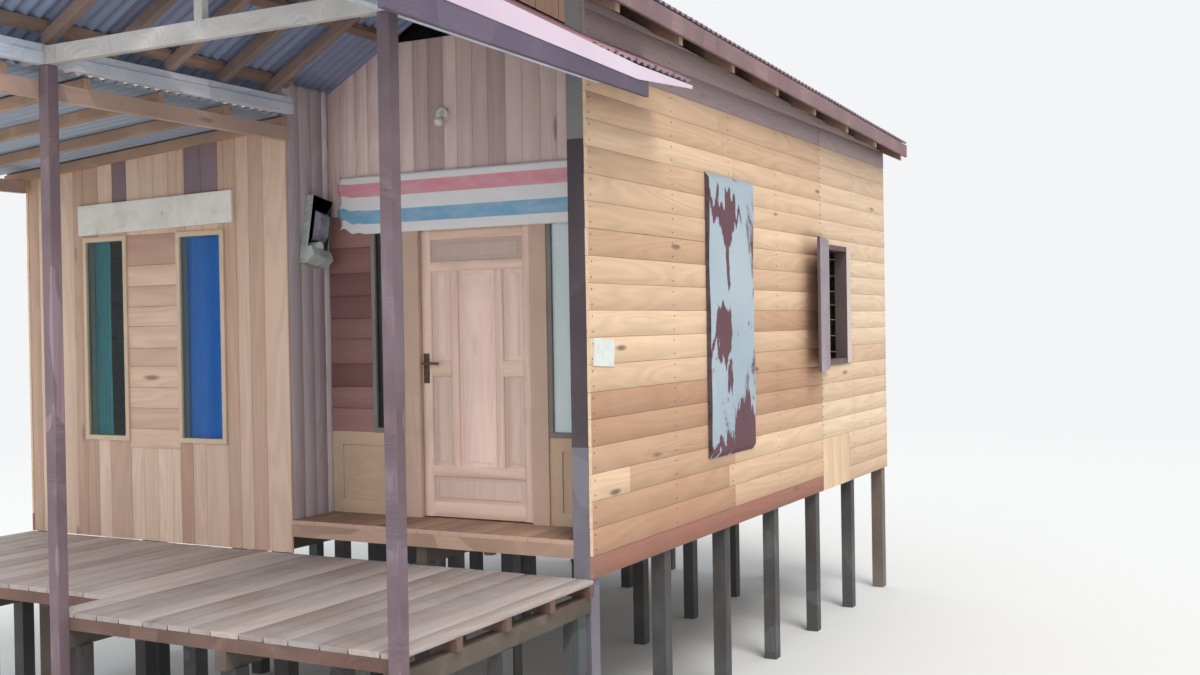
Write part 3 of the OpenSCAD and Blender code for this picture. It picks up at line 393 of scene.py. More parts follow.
def boards(name, spans, lay, depth, thick, finish, seed, node, slot, trim=True, body="root", **looks):
    """A layer of boards that stands for a solid, and is cut to its outline with its openings."""
    layer = board_layer(name, spans, lay, depth, thick, finish, seed, **looks)
    if trim:
        carve(layer, clean_shape(node), "INTERSECT")
        layer.data.materials.clear()
        layer.data.materials.append(finish)
        layer.data.polygons.foreach_set("material_index", [0] * len(layer.data.polygons))
    stand_for(layer, [node], slot, body)


house_w, house_l = 4.4, 5.75
deck_joint, deck_thick = 2.1, 0.028
near_reach, far_reach = 1.71, 1.35
deck_finish = timber("deck_planks", "Y", "C8BAB4", "948884", "ACA6A4", 0.42, 0.4, 0.65, 0.7)
planks = [(-near_reach, -0.001, a, b) for a, b in side_by_side(-deck_joint, 0, 0.155, 3)]
planks += [(-far_reach, -0.001, a, b) for a, b in side_by_side(-house_w, -deck_joint, 0.155, 4)]
boards("deck_planks", planks, "YX", -deck_thick / 2 - 0.0015, deck_thick - 0.003, deck_finish, 5,
       "deck_boards", "deck_timber", trim=False, gap=0.007, edge=0.003, proud=0.0015)

# Floor of the house: boards along the house, which show at the step of the door bay. Their sawn ends
# there are paler than the walked faces. Boards are laid a little past a solid, which trims them.
past = 0.01
floor_finish = timber("floor_boards", "Y", "B08F77", "8A6C5A", "8F8378", 0.4, 0.4, 0.5, 0.5,
                      zones=[("Y", 0.0, 0.006, "C9A48F")])
floor_spans = [(-past, house_l + past, a, b) for a, b in side_by_side(past - house_w, 0.0, 0.145, 6)]
boards("floor_planks", floor_spans, "YX", 0.1875, 0.024, floor_finish, 7, "floor_boards", "floor_timber",
       gap=0.002, proud=0.0004)

# Corner posts: hardwood, from the ground to the plates. The one at the front right is blackened, and
# greyer at its head and at its foot.
finish_node("corner_posts", timber(
    "corner_posts", "Z", "8C7F74", "61564E", "6D6C66", 0.4, 0.3, 0.5, 0.6, 0.6))
finish_node("front_corner_post", timber(
    "dark_corner_post", "Z", "4A4853", "34343F", "44454D", 0.4, 0.2, 0.5, 0.6, 0.6,
    [("Z", 2.8, 0.45, "94908E"), ("Z", -0.2, 0.9, "85808A")]))

# Side walls: sawn softwood boards laid level on the studs, close together. Some rows are of darker
# boards. Behind the joint a paler lot was used, with a few short upright boards at its foot.
wall_top, wall_end = 3.2, 5.8
rough_board, planed_board = 0.019, 0.018
# Both side finishes darken their top boards under the eave to a grey purple zone, which is painted shade of
# the eave.
eave_shade_reach = 0.452
side_finish = timber("side_boards", "Y", "F0CFAC", "B08063", "C9A98C", 0.26, 0.75, 0.25, 0.4,
                     zones=[("Z", wall_top, eave_shade_reach, "82747E")])
pale_finish = timber("pale_side_boards", "Y", "EFD3B4", "C49C7E", "CDB59C", 0.24, 0.6, 0.2, 0.4,
                     zones=[("Z", wall_top, eave_shade_reach, "887A82")])
foot_finish = timber("red_foot_board", "Y", "B07A66", "9A6253", "8F7468", 0.4, 0.4, 0.45, 0.5)
patch_finish = timber("upright_patch", "Z", "F0D3B2", "DDB893", "CDB59C", 0.24, 0.6, 0.2, 0.4)
wall_mid = 0.011
foot_h, row_h = 0.12, 0.146
joint_y = 3.89
joint_gap = 0.002
patch_w, patch_h = 0.70, foot_h + 2 * row_h
near_shades = (0.85, 0.75, 0.62, 0.62, 0.8, 0.85, 0.25, 0.05, 0.08, 0.3, 0.22, 0.6, 0.35, 0.25, 0.45,
               0.15, 0.45, 0.4, 0.5, 0.5, 0.5)
middle_shades = (0.45, 0.3, 0.12, 0.5, 0.78, 0.8, 0.6, 0.3, 0.68, 0.2, 0.42, 0.3, 0.08, 0.25, 0.2, 0.28,
                 0.45, 0.45, 0.5, 0.5, 0.5)
rear_shades = (0.6, 0.3, 0.1, 0.2, 0.4, 0.35, 0.6, 0.15, 0.1, 0.2, 0.25, 0.15, 0.3, 0.35, 0.3, 0.25,
               0.45, 0.5, 0.45, 0.5, 0.5)
rows = [(foot_h + k * row_h, foot_h + (k + 1) * row_h) for k in range(len(near_shades))]
patch_sides = side_by_side(joint_y + joint_gap, joint_y + patch_w, 0.23, 15)
patch = [(0.0, patch_h, a, b) for a, b in patch_sides]
chance = random.Random(10)
for x, name, gap in ((-wall_mid, "right_wall", 0.0015), (-house_w + wall_mid, "left_wall", 0.0004)):
    near, shades = [(-past, 0.45, *rows[2])], [0.1]
    far_rows = [(joint_y + patch_w, wall_end, 0.0, foot_h)]
    for k, (low, high) in enumerate(rows):
        joint = chance.uniform(1.62, 2.32)
        near += [(0.452 if k == 2 else -past, joint, low, high), (joint + joint_gap, joint_y, low, high)]
        shades += [near_shades[k], middle_shades[k]]
        behind = joint_gap if low >= patch_h - past else patch_w
        far_rows.append((joint_y + behind, wall_end, low, high))
    for part, spans, lay, thick, finish, seed, tones in (
        ("_boards", near, "YZ", rough_board, side_finish, 12, shades),
        ("_rear_boards", far_rows, "YZ", rough_board, pale_finish, 13, [0.6, *rear_shades]),
        ("_foot_board", [(-past, joint_y, 0.0, foot_h)], "YZ", 0.0205, foot_finish, 14, None),
        ("_patch", patch, "ZY", 0.0195, patch_finish, 16, None),
    ):
        boards(name + part, spans, lay, x, thick, finish, seed, name, "side_boards", gap=gap, shades=tones)

# Rear wall: the same boards, laid level between the rear corners. It isn't in the photograph, and it
# follows the side walls.
rear_rows = [(-house_w - past, past, a, b) for a, b in side_by_side(0.0, 3.3, 0.15, 21)]
rear_finish = timber("rear_boards", "X", "E2C29E", "B68A68", "B49C86", 0.28, 0.7, 0.35, 0.4)
boards("rear_wall_boards", rear_rows, "XZ", house_l - wall_mid, rough_board, rear_finish, 22,
       "rear_wall", "side_boards")

# Front wall left of the bay: planed boards on end, a panel of short level boards between the two
# windows, and a few darker old boards over the header.
front_finish = timber("front_boards", "Z", "F0D2BA", "C29C86", "CAB0A0", 0.26, 0.5, 0.25, 0.35)
short_finish = timber("short_front_boards", "X", "F0CCB2", "BC9482", "CAB0A0", 0.26, 0.6, 0.2, 0.35)
old_finish = timber("old_front_boards", "Z", "978087", "80707A", "88787E", 0.3, 0.4, 0.4, 0.4)
window_x = (-3.637, -2.787)
half_window = 0.2025
window_z = (0.66, 1.975)
between = (window_x[0] + half_window, window_x[1] - half_window)
outside = (window_x[0] - half_window, window_x[1] + half_window)
old_x, old_z = ((-3.567, between[0]), (-2.917, -2.775), (-2.775, -2.633)), 2.06
panel_z = (0.60, 1.99)
bay_w = 2.08
spans = [(window_z[1], old_z, a, b) for a, b in old_x]
spans += [(window_z[1], wall_top, a, b) for a, b in (
    (-3.70, -3.567), (outside[0], -3.70), (between[1], -2.917), (-2.633, outside[1]))]
for low, high in ((-4.38, outside[0]), (outside[1], -bay_w)):
    spans += [(-past, wall_top, a, b) for a, b in side_by_side(low, high, 0.118, 31)]
for middle in window_x:
    under = side_by_side(middle - half_window, middle + half_window, 0.122, 32)
    spans += [(-past, window_z[0], a, b) for a, b in under]
for a, b in side_by_side(*between, 0.118, 33):
    spans += [(-past, panel_z[0], a, b), (panel_z[1], wall_top, a, b)]
panel = [(*between, a, b) for a, b in side_by_side(*panel_z, 0.125, 35)]
panel_shades = [0.1 + 0.25 * (k % 3 == 1) + 0.7 * (k == len(panel) - 1) for k in range(len(panel))]
for name, parts, lay, finish, seed, tones in (
    ("front_wall_boards", spans, "ZX", front_finish, 34, None),
    ("old_wall_boards", [(old_z, wall_top, a, b) for a, b in old_x], "ZX", old_finish, 37, None),
    ("front_wall_panel", panel, "XZ", short_finish, 36, panel_shades),
):
    boards(name, parts, lay, wall_mid, planed_board, finish, seed, "front_wall_left", "front_boards",
           shades=tones)

# Sides and head of the door bay: boards on end, greyer where the rain drives in, old dark red
# boards laid level left of the door, and a batten over it. The framing inside is of plain timber.
bay_d = 0.411
return_finish = timber("return_boards", "Z", "E0D4D6", "A89CA2", "B6AEB2", 0.32, 0.4, 0.45, 0.4)
head_finish = timber("bay_head_boards", "Z", "F0D4CE", "BEA29E", "B8AAAC", 0.28, 0.5, 0.3, 0.4)
dark_finish = timber("dark_red_boards", "X", "A67C78", "744C4C", "84686A", 0.3, 0.3, 0.25, 0.4)
returned = [(0.19, 3.05, a, b) for a, b in side_by_side(0.022, 0.422, 0.118, 41)]
over_door = [(2.05, 3.11, a, b) for a, b in side_by_side(-bay_w, -0.022, 0.112, 43)]
beside = [(-2.09, 0.0, a, b) for a, b in side_by_side(0.70, 2.06, 0.14, 46)]
for name, parts, lay, depth, thick, finish, seed, node, slot in (
    ("return_wall_boards", returned, "ZY", -2.091, rough_board, return_finish, 42, "return_wall",
     "bay_boards"),
    ("door_wall_head_boards", over_door, "ZX", bay_d, planed_board, head_finish, 44, "door_wall_head",
     "bay_boards"),
    ("pelmet_batten", [(-1.99, -0.026, 2.26, 2.30)], "XZ", 0.3925, 0.0145, head_finish, 45,
     "door_wall_head", "bay_boards"),
    ("door_wall_side_boards", beside, "XZ", bay_d, planed_board, dark_finish, 47, "door_wall_sides",
     "dark_boards"),
):
    boards(name, parts, lay, depth, thick, finish, seed, node, slot)
for node, name, *looks in (
    ("low_panels", "low_panels", "X", "DDBFA2", "C4A083", "B59F8C", 0.28, 0.5, 0.3, 0.35, 0.5),
    ("wall_studs", "inside_studs", "Z", "B8967A", "94735A", "84776B", 0.3, 0.5, 0.3, 0.4, 0.6),
    ("wall_plates", "wall_plates", "Y", "B8967A", "94735A", "84776B", 0.3, 0.5, 0.3, 0.4, 0.6),
):
    finish_node(node, timber(name, *looks))

# Gables: boards on end, cut to the rafters and, at the front, down to the porch roof. Both are of the
# same weathered boards.
gable_finish = timber("gable_boards", "Z", "C9A283", "966F58", "8F7B6E", 0.3, 0.5, 0.4, 0.4)
for name, depth, widths_seed, seed in (
    ("front_gable_boards", 0.02, 51, 53), ("rear_gable_boards", 5.755, 52, 54)
):
    spans = [(2.7, 4.6, a, b) for a, b in side_by_side(-house_w - past, past, 0.13, widths_seed)]
    boards(name, spans, "ZX", depth, 0.12, gable_finish, seed, "gables", "side_boards", gap=0.003)

# Door frame and leaf: planed joinery. The leaf has two stiles, its rails tenoned between them, and
# bevelled panels; the long middle panel passes the lock rail.
door_stile = timber("door_stiles", "Z", "F6D6C4", "E6C4B2", "BFA394", 0.24, 0.2, 0.2, 0.25)
door_rail = timber("door_rails", "X", "F6D6C2", "E4C0AA", "BFA394", 0.24, 0.2, 0.2, 0.25)
door_field = timber("door_panels", "Z", "FFDCCC", "B8A294", "CCB4A6", 0.16, 0.1, 0.25, 0.25)
leaf_x, leaf_z = -1.395, 0.207
leaf_w, leaf_h = 0.8, 1.762
stile, muntin, middle = 0.075, 0.055, 0.26
leaf_mid, leaf_thick = 0.437, 0.0355
side_panel = (leaf_w - 2 * stile - 2 * muntin - middle) / 2
rail_heights = ((0.0, 0.09), (0.246, 0.312), (1.486, 1.546), (1.677, leaf_h))
lock_rail = (0.85, 0.946)
inner = (stile + side_panel, stile + side_panel + muntin)
outer = (leaf_w - inner[1], leaf_w - inner[0])
foot_rail, low_rail, high_rail, head_rail = rail_heights
left_side, right_side = (stile, inner[0]), (outer[1], leaf_w - stile)
rails = [(stile, leaf_w - stile, low, high) for low, high in rail_heights]
rails += [(*left_side, *lock_rail), (*right_side, *lock_rail)]
uprights = [(0, stile, 0, leaf_h), (leaf_w - stile, leaf_w, 0, leaf_h)]
uprights += [(a, b, low_rail[1], high_rail[0]) for a, b in (inner, outer)]
fields = [(stile, leaf_w - stile, foot_rail[1], low_rail[0]),
          (stile, leaf_w - stile, high_rail[1], head_rail[0]),
          (inner[1], outer[0], low_rail[1], high_rail[0])]
for low, high in ((low_rail[1], lock_rail[0]), (lock_rail[1], high_rail[0])):
    fields += [(*left_side, low, high), (*right_side, low, high)]
field_shades = [0.5, 0.75, 0.0, 0.4, 0.4, 0.15, 0.15]
rim_shades = [shade + 0.1 for shade in field_shades]
margin = 0.028
raised = [(a + margin, b - margin, c + margin, d - margin) for a, b, c, d in fields]
for name, parts, lay, thick, finish, seed, edge, looks in (
    ("door_stile_set", uprights, "ZX", leaf_thick, door_stile, 61, 0.003, {"tones": (0.1, 0.8)}),
    ("door_rail_set", rails, "XZ", leaf_thick - 0.001, door_rail, 62, 0.003, {"tones": (0.0, 0.7)}),
    ("door_panel_set", fields, "ZX", 0.014, door_field, 63, 0.001, {"shades": rim_shades}),
    ("door_raised_set", raised, "ZX", 0.026, door_field, 64, 0.006, {"shades": field_shades}),
):
    spans = [(a + leaf_x, b + leaf_x, c + leaf_z, d + leaf_z) for a, b, c, d in parts]
    if lay == "ZX":
        spans = [(c, d, a, b) for a, b, c, d in spans]
    boards(name, spans, lay, leaf_mid, thick, finish, seed, "front_door", "joinery_timber", trim=False,
           body="door", gap=0.0, edge=edge, proud=0, **looks)
finish_node("door_frame", timber("door_frame", "Z", "DAB8A4", "BC9C8A", "A4907F", 0.28, 0.3, 0.35, 0.35, 0.4))

# Door furniture: blackened handles on plates, and plain steel butt hinges on the right jamb. Their
# metal has dulled in patches.


def metal(name, colour, worn, roughness, metallic=1.0):
    """Metal or enamel that has dulled in patches."""
    material, tree, where = new_finish(name)
    cloud = noise(tree, where, 14, 5, Roughness=0.65)
    mask = remap(tree, cloud, 0.42, 0.62)
    surfaced(tree, {"Base Color": mixed(tree, mask, srgb(colour), srgb(worn)), "Metallic": metallic,
                    "Roughness": remap(tree, mask, 0, 1, roughness, roughness + 0.25)}, (0.15, 0.001, cloud))
    return material


finish_node("door_hardware", metal("handle_metal", "4A4038", "6B5A48", 0.4))
finish_node("door_hinges", metal("hinge_steel", "9A9C9E", "7A6A5C", 0.4))

# Window frames: pale planed wood at the front, grey wood round the side lights, dark weathered wood
# at the side windows. Each is the solid's own shape with its edges eased.
anywhere = ((-9, -9, -9), (9, 9, 9))
front_windows, side_lights = ((-4.3, -1, 0), (-2.1, 0.3, 3)), ((-2.1, 0.2, 0), (0, 0.8, 3))
side_windows = ((-5, 3, 0), (1, 5, 3))


def solid_piece(name, node, material, slot, within=anywhere, ease=0.003):
    """The solids of a node whose middles lie between two corners, with eased edges."""
    shape = clean_shape(node)
    left = set(shape.verts)
    unwanted = []
    while left:
        island, edge = set(), [left.pop()]
        while edge:
            vert = edge.pop()
            island.add(vert)
            for link in vert.link_edges:
                other = link.other_vert(vert)
                if other in left:
                    left.discard(other)
                    edge.append(other)
        middle = sum((v.co for v in island), Vector()) / len(island) - corner
        if not all(a <= m <= b for a, m, b in zip(within[0], middle, within[1])):
            unwanted += island
    bmesh.ops.delete(shape, geom=unwanted, context="VERTS")
    obj = new_piece(name, shape_mesh(name, shape, material))
    bevel = obj.modifiers.new("eased", "BEVEL")
    bevel.width = ease
    bevel.segments = 2
    bevel.limit_method = "ANGLE"
    bevel.angle_limit = math.radians(40)
    stand_for(settle(obj), [node], slot)
    return obj


for name, within, finish_name, *looks in (
    ("front_window_frame_pair", front_windows, "front_window_frames", "Z", "E0C8AC", "CDAF92", "B5A28E",
     0.2, 0.2, 0.3, 0.3, 0.3),
    ("side_light_frame_pair", side_lights, "side_light_frames", "Z", "8E8984", "6C6764", "77736E",
     0.25, 0.2, 0.4, 0.35, 0.5),
    ("side_window_frame_pair", side_windows, "side_window_frames", "Z", "6E5C5E", "4A3B40", "5A4F52",
     0.3, 0.3, 0.5, 0.4, 0.5, [("Y", 4.587, 0.056, "E2D0C4")]),
):
    solid_piece(name, "window_frames", timber(finish_name, *looks), "window_timber", within)

# Panes: window glass with a faint tint and the dust of the road on it. The right side light is lined
# with a pale film that lets some light through.
pane_edge = 0.0008
left_light, right_light = ((-2.1, 0.3, 0), (-1.5, 0.8, 3)), ((-0.6, 0.3, 0), (0, 0.8, 3))
for name, within, finish_name, tint, roughness in (
    ("front_window_panes", front_windows, "front_glass", "C6DCE8", 0.02),
    ("left_side_light_pane", left_light, "left_light_glass", "9FB0B4", 0.05),
):
    glass, tree, where = new_finish(finish_name)
    rough = remap(tree, noise(tree, where, 3, 4), 0, 1, roughness, roughness + 0.12)
    surfaced(tree, {"Base Color": srgb(tint), "Roughness": rough, "IOR": 1.25, "Transmission Weight": 1.0})
    solid_piece(name, "window_panes", glass, "window_glass", within, pane_edge)

film, tree, where = new_finish("pale_film_pane")
height = put(tree, "ShaderNodeSeparateXYZ", {0: where}).outputs["Z"]
upper = maths(tree, "GREATER_THAN", height, corner.z + 1.74)
film_base = mixed(tree, upper, srgb("DCE8E6"), srgb("E0E8F0"))
crease = noise(tree, where, 5, 4, Distortion=0.6)
film_colour = mixed(tree, remap(tree, crease, 0.35, 0.7, 0, 0.35), film_base, srgb("C4D4D2"))
surfaced(tree, {"Base Color": film_colour, "Roughness": 0.35, "Transmission Weight": 0.15},
         (0.2, 0.003, crease))
solid_piece("right_side_light_pane", "window_panes", film, "window_glass", right_light, pane_edge)

# Curtains: light cloth on a wire behind the front windows, gathered into soft folds. The right one
# is drawn across, the left one is drawn back.


def shell(obj, gauge, offset=0):
    """Gives a surface the thickness of its sheet."""
    modifier = obj.modifiers.new("gauge", "SOLIDIFY")
    modifier.thickness = gauge
    modifier.offset = offset
    return settle(obj)


def thin_sheet(name, across, along, place, finishes, gauge, offset=0, flat=None, downward=False):
    """A sheet in rows from its foot up, or from its head downward: place gives a point from its shares
    across and along, and flat, for cloth, where that lies on the flat cloth. A second finish is for
    its left edge."""
    shares = [(column / across, row / along) for row in range(along + 1) for column in range(across + 1)]
    wide = across + 1
    ring = (0, wide, wide + 1, 1) if downward else (0, 1, wide + 1, wide)
    faces = [[k + step for step in ring] for row in range(along)
             for k in range(row * wide, row * wide + across)]
    mesh = new_mesh(name, [corner + Vector(place(u, v)) for u, v in shares], faces, finishes)
    if flat:
        uv = mesh.uv_layers.new(name="cloth")
        for loop in mesh.loops:
            uv.data[loop.index].uv = flat(*shares[loop.vertex_index])
        mesh.polygons.foreach_set("use_smooth", [True] * len(faces))
    if len(finishes) > 1:
        mesh.polygons.foreach_set("material_index", [int(k % across == 0) for k in range(len(faces))])
    return shell(new_piece(name, mesh), gauge, offset)


def folded_width(left, right, folds, depth):
    """Width of cloth that goes into those folds, measured along the mean wave."""
    total, steps = 0.0, 2000
    for step in range(steps):
        share = (step + 0.5) / steps
        slope = 0.8 * depth / 1.25 * (folds * 2 * math.pi * math.cos(share * folds * 2 * math.pi)
                                      + 0.25 * folds * 5.1 * math.cos(share * folds * 5.1))
        total += math.hypot(right - left, slope) / steps
    return total


curtain_low, curtain_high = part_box("window_curtains")
curtain_h = curtain_high.z - curtain_low.z
hem, fold_depth, cloth_gauge = 0.004, 0.0034, 0.0006


def curtain(name, left, right, folds, tint, shade):
    """A hanging cloth of fine threads with a soft sheen, whose folds open towards the hem."""
    cloth, tree, uv = new_finish(name + "_cloth", on_cloth=True)
    weft, warp = (put(tree, "ShaderNodeTexWave", {"Vector": uv, "Scale": 900, "Distortion": 0.6},
                      bands_direction=way).outputs["Fac"] for way in "XY")
    colour = mixed(tree, noise(tree, uv, 5, 3), srgb(tint), srgb(shade))
    surfaced(tree, {"Base Color": colour, "Roughness": 0.85, "Sheen Weight": 0.2},
             (0.2, 0.0005, maths(tree, "MULTIPLY", weft, warp)))
    flat_w = folded_width(left, right, folds, fold_depth)

    def hang(share, drop):
        """A point of the cloth, from its shares across and down."""
        wave = math.sin(share * folds * 2 * math.pi + 0.5 * math.sin(3 * share + drop))
        ripple = 0.25 * math.sin(share * folds * 5.1 + 4 * drop)
        out = fold_depth * (0.6 + 0.4 * drop) * (wave + ripple) / 1.25
        sway = 0.004 * math.sin(drop * 4 + share * 9)
        return (left + share * (right - left) + sway, (curtain_low.y + curtain_high.y) / 2 - corner.y + out,
                curtain_high.z - corner.z - hem - drop * (curtain_h - 2 * hem))

    def flat(share, drop):
        """Where that point lies on the flat cloth."""
        return share * flat_w, drop * curtain_h

    obj = thin_sheet(name, folds * 16, 40, hang, [cloth], cloth_gauge, flat=flat, downward=True)
    stand_for(obj, ["window_curtains"], "curtain_cloth")


curtain("blue_curtain", -2.975, -2.600, 6, "4C9CF0", "3A86DC")
curtain("teal_curtain", -3.825, -3.66, 5, "5FB0A4", "478E88")

# Header board: a wide planed board over the front windows, painted white long ago. The paint is
# soiled in clouds and has chipped to the wood.
header, tree, where = new_finish("old_white_paint")
brushed = noise(tree, add(tree, "ShaderNodeMapping", {"Vector": where, "Scale": (3, 30, 30)}), 1.0, 4)
soiled = remap(tree, noise(tree, where, 4, 6, Roughness=0.7), 0.4, 0.75, 0, 0.6)
chipped = maths(tree, "GREATER_THAN", noise(tree, where, 16, 6, Roughness=0.75), 0.66)
white = mixed(tree, chipped, mixed(tree, soiled, srgb("E9E4DC"), srgb("BFB5A6")), srgb("9C7E6A"))
surfaced(tree, {"Base Color": white, "Roughness": 0.6}, (0.25, 0.002, brushed))
solid_piece("white_header_board", "header_board", header, "header_paint")

# Board shutters of the side windows: dark weathered boards on two hinge pins, pushed back. Their free
# edges are nearly black.
shutter_finish = timber("shutter_boards", "Z", "B5A8B0", "8F838C", "9A9098", 0.35, 0.3, 0.5, 0.5, 0.6,
                        [("Y", 3.43, 0.02, "4B373C")])
solid_piece("board_shutters", "side_shutters", shutter_finish, "shutter_timber")

# Zinc sheet: an old galvanised sheet nailed over the boards, its edges bent and its coat rusted
# through in maroon patches. Rust and bare coat share a group with the roof sheets.
corroded, given = new_group("sheet_corrosion", "ShaderNodeTree", (
    ("Vector", "Vector"), ("Coat", "Color"), ("Faded", "Color"), ("Rust", "Color"), ("Amount", "Float"),
    ("Extra", "Float")), (("Color", "Color"), ("Roughness", "Float"), ("Height", "Float")))
patches = noise(corroded, given["Vector"], 1.6, 8, Roughness=0.68, Distortion=0.4)
level_at = maths(corroded, "ADD", given["Amount"], given["Extra"])
rusted = remap(corroded, maths(corroded, "ADD", patches, level_at), 0.94, 1.0)
fading = remap(corroded, noise(corroded, given["Vector"], 0.9, 4), 0.35, 0.65)
coat = mixed(corroded, fading, given["Coat"], given["Faded"])
speck = put(corroded, "ShaderNodeTexNoise", {"Vector": given["Vector"], "Scale": 40, "Detail": 4}).outputs
mottled = mixed(corroded, 0.18, coat, speck["Color"], blend_type="SOFT_LIGHT")
put(corroded, "NodeGroupOutput", {"Color": mixed(corroded, rusted, mottled, given["Rust"]),
                                  "Roughness": remap(corroded, rusted, 0, 1, 0.42, 0.9),
                                  "Height": maths(corroded, "MULTIPLY", speck["Fac"], rusted)})


def sheet_metal(name, coat, faded, rust, amount, under=None, spots=()):
    """Coated or galvanised sheet. spots are (x, y, z, half sizes) where rust has broken through and run
    down in drips; under is the colour of the lower face: its grey back coat, tinted blue as painted shade."""
    material, tree, where = new_finish(name)
    extra = 0.0
    if spots:
        ragged = noise(tree, vectors(tree, "MULTIPLY", where, (7, 16, 3.5)), 1.0, 4, "Color")
        ragged = vectors(tree, "SUBTRACT", ragged, (0.5, 0.5, 0.5))
        ragged = vectors(tree, "ADD", vectors(tree, "MULTIPLY", ragged, (0, 0.12, 0.6)), where)
    for centre, half in spots:
        apart = vectors(tree, "SUBTRACT", ragged, tuple(corner + Vector(centre)))
        reach = vectors(tree, "LENGTH", vectors(tree, "DIVIDE", apart, half))
        spot = remap(tree, reach, 0.55, 1.3, 0.42, 0)
        extra = maths(tree, "MAXIMUM", extra, spot) if extra else spot
    wear = put(tree, "ShaderNodeGroup", {
        "Vector": where, "Coat": srgb(coat), "Faded": srgb(faded), "Rust": srgb(rust), "Amount": amount,
        "Extra": extra}, node_tree=corroded).outputs
    tone = put(tree, "ShaderNodeAttribute", attribute_name="tone").outputs["Fac"]
    colour = mixed(tree, tone, wear["Color"], srgb(faded))
    # The lower face's blue grey colour is partly its back coat and partly painted shade under the roof.
    if under:
        facing = put(tree, "ShaderNodeTexCoord").outputs["Normal"]
        above = put(tree, "ShaderNodeSeparateXYZ", {0: facing}).outputs["Z"]
        above = maths(tree, "GREATER_THAN", above, 0.0)
        lower = mixed(tree, noise(tree, where, 2.5, 5), srgb(under), srgb(coat))
        colour = mixed(tree, above, mixed(tree, 0.65, lower, srgb(under)), colour)
    surfaced(tree, {"Base Color": colour, "Roughness": wear["Roughness"], "Metallic": 0.25},
             (0.3, 0.002, wear["Height"]))
    return material


zinc_low, zinc_high = (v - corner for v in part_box("zinc_panel"))
zinc_w, zinc_h = zinc_high.y - zinc_low.y, zinc_high.z - zinc_low.z
rust_spots = (  # across and down the sheet, and half sizes, as shares of it
    (0.32, 0.13, 0.32, 0.055), (0.34, 0.19, 0.17, 0.07), (0.37, 0.32, 0.035, 0.09), (0.28, 0.55, 0.15, 0.09),
    (0.08, 0.58, 0.06, 0.03), (0.41, 0.72, 0.05, 0.04), (0.74, 0.93, 0.24, 0.10), (0.25, 0.985, 0.35, 0.03))
zinc_finish = sheet_metal(
    "rusted_zinc", "9AABB6", "B0BEC5", "6C4A52", 0.36,
    spots=[((0, zinc_low.y + u * zinc_w, zinc_high.z - v * zinc_h), (1, a * zinc_w, b * zinc_h))
           for u, v, a, b in rust_spots])
# The sheet's bent left edge takes a dark finish, partly rust and partly painted shade where the edge stands
# off the boards.
zinc_edge_shade_and_rust = metal("dark_zinc_edge", "54424A", "3E3238", 0.6, 0.0)
zinc_across, zinc_upward = 24, 54


def dented(u, v):
    """A point of the sheet, which is dented in shallow waves and bent back at its rim."""
    bent = round(u * zinc_across) == 1
    y = zinc_low.y + 0.001 + (0.003 if bent else u * (zinc_w - 0.002))
    z = zinc_low.z + 0.001 + v * (zinc_h - 0.002)
    dent = 0.0035 * math.sin(9 * y + 2.1 * z) + 0.0025 * math.sin(5.3 * z - 7 * y)
    dent += 0.002 * math.sin(23 * y + 11 * z)
    rim = min(u, 1 - u, v, 1 - v)
    if rim == 0:
        return 0.002, y, z
    return (zinc_high.x - 0.0085 + dent) * (0.93 if rim < 1.5 / zinc_upward else 1), y, z


zinc = thin_sheet("zinc_sheet", zinc_across, zinc_upward, dented, [zinc_finish, zinc_edge_shade_and_rust], 0.001, -1)
stand_for(zinc, ["zinc_panel"], "zinc")

# Pelmet: a strip of woven plastic sheet, striped red, white and blue, nailed to the batten over the
# door. It hangs in shallow waves and its left end is torn.
pelmet_low, pelmet_high = (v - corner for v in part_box("door_pelmet"))
pelmet_w, pelmet_h = pelmet_high.x - pelmet_low.x, pelmet_high.z - pelmet_low.z
striped, tree, uv = new_finish("striped_plastic", on_cloth=True)
up = put(tree, "ShaderNodeSeparateXYZ", {0: uv}).outputs["Y"]
stripes = put(tree, "ShaderNodeValToRGB", {0: up})
bands = stripes.color_ramp
white, red, blue = srgb("E2DEDD"), srgb("D98A98"), srgb("72A5C6")
marks = ((0.0, white), (0.165, white), (0.175, blue), (0.40, blue), (0.41, white), (0.635, white),
         (0.645, red), (0.87, red), (0.88, white))
for k, (place, colour) in enumerate(marks):
    band = bands.elements[k] if k < 2 else bands.elements.new(place)
    band.position, band.color = place, colour
faded = remap(tree, noise(tree, uv, 6, 5), 0.4, 0.75, 0, 0.35)
tape = put(tree, "ShaderNodeTexWave", {"Vector": uv, "Scale": 120, "Distortion": 0.3}, bands_direction="X")
surfaced(tree, {"Base Color": mixed(tree, faded, stripes.outputs[0], srgb("D5CDC9")), "Roughness": 0.45},
         (0.15, 0.0006, tape.outputs["Fac"]))


def slack(u, v):
    """A point of the strip, which is slack at its foot and torn towards its left end."""
    torn = max(0.0, 1 - u / 0.1)
    foot = 0.03 * torn + 0.02 * torn * math.sin(90 * u)
    out = (1 - v) * (0.0028 * math.sin(17 * u + 1) + 0.002 * math.sin(41 * u + 3 * v))
    out += 0.0008 * math.sin(13 * v + 9 * u)
    return (pelmet_low.x + 0.002 + u * (pelmet_w - 0.004) + 0.012 * torn * math.sin(14 * v),
            (pelmet_low.y + pelmet_high.y) / 2 - 0.002 + out,
            pelmet_low.z + 0.001 + foot * (1 - v) + v * (pelmet_h - 0.002))


pelmet = thin_sheet("striped_pelmet", 120, 24, slack, [striped], cloth_gauge,
                    flat=lambda u, v: (u * pelmet_w, v))
stand_for(pelmet, ["door_pelmet"], "pelmet_plastic")

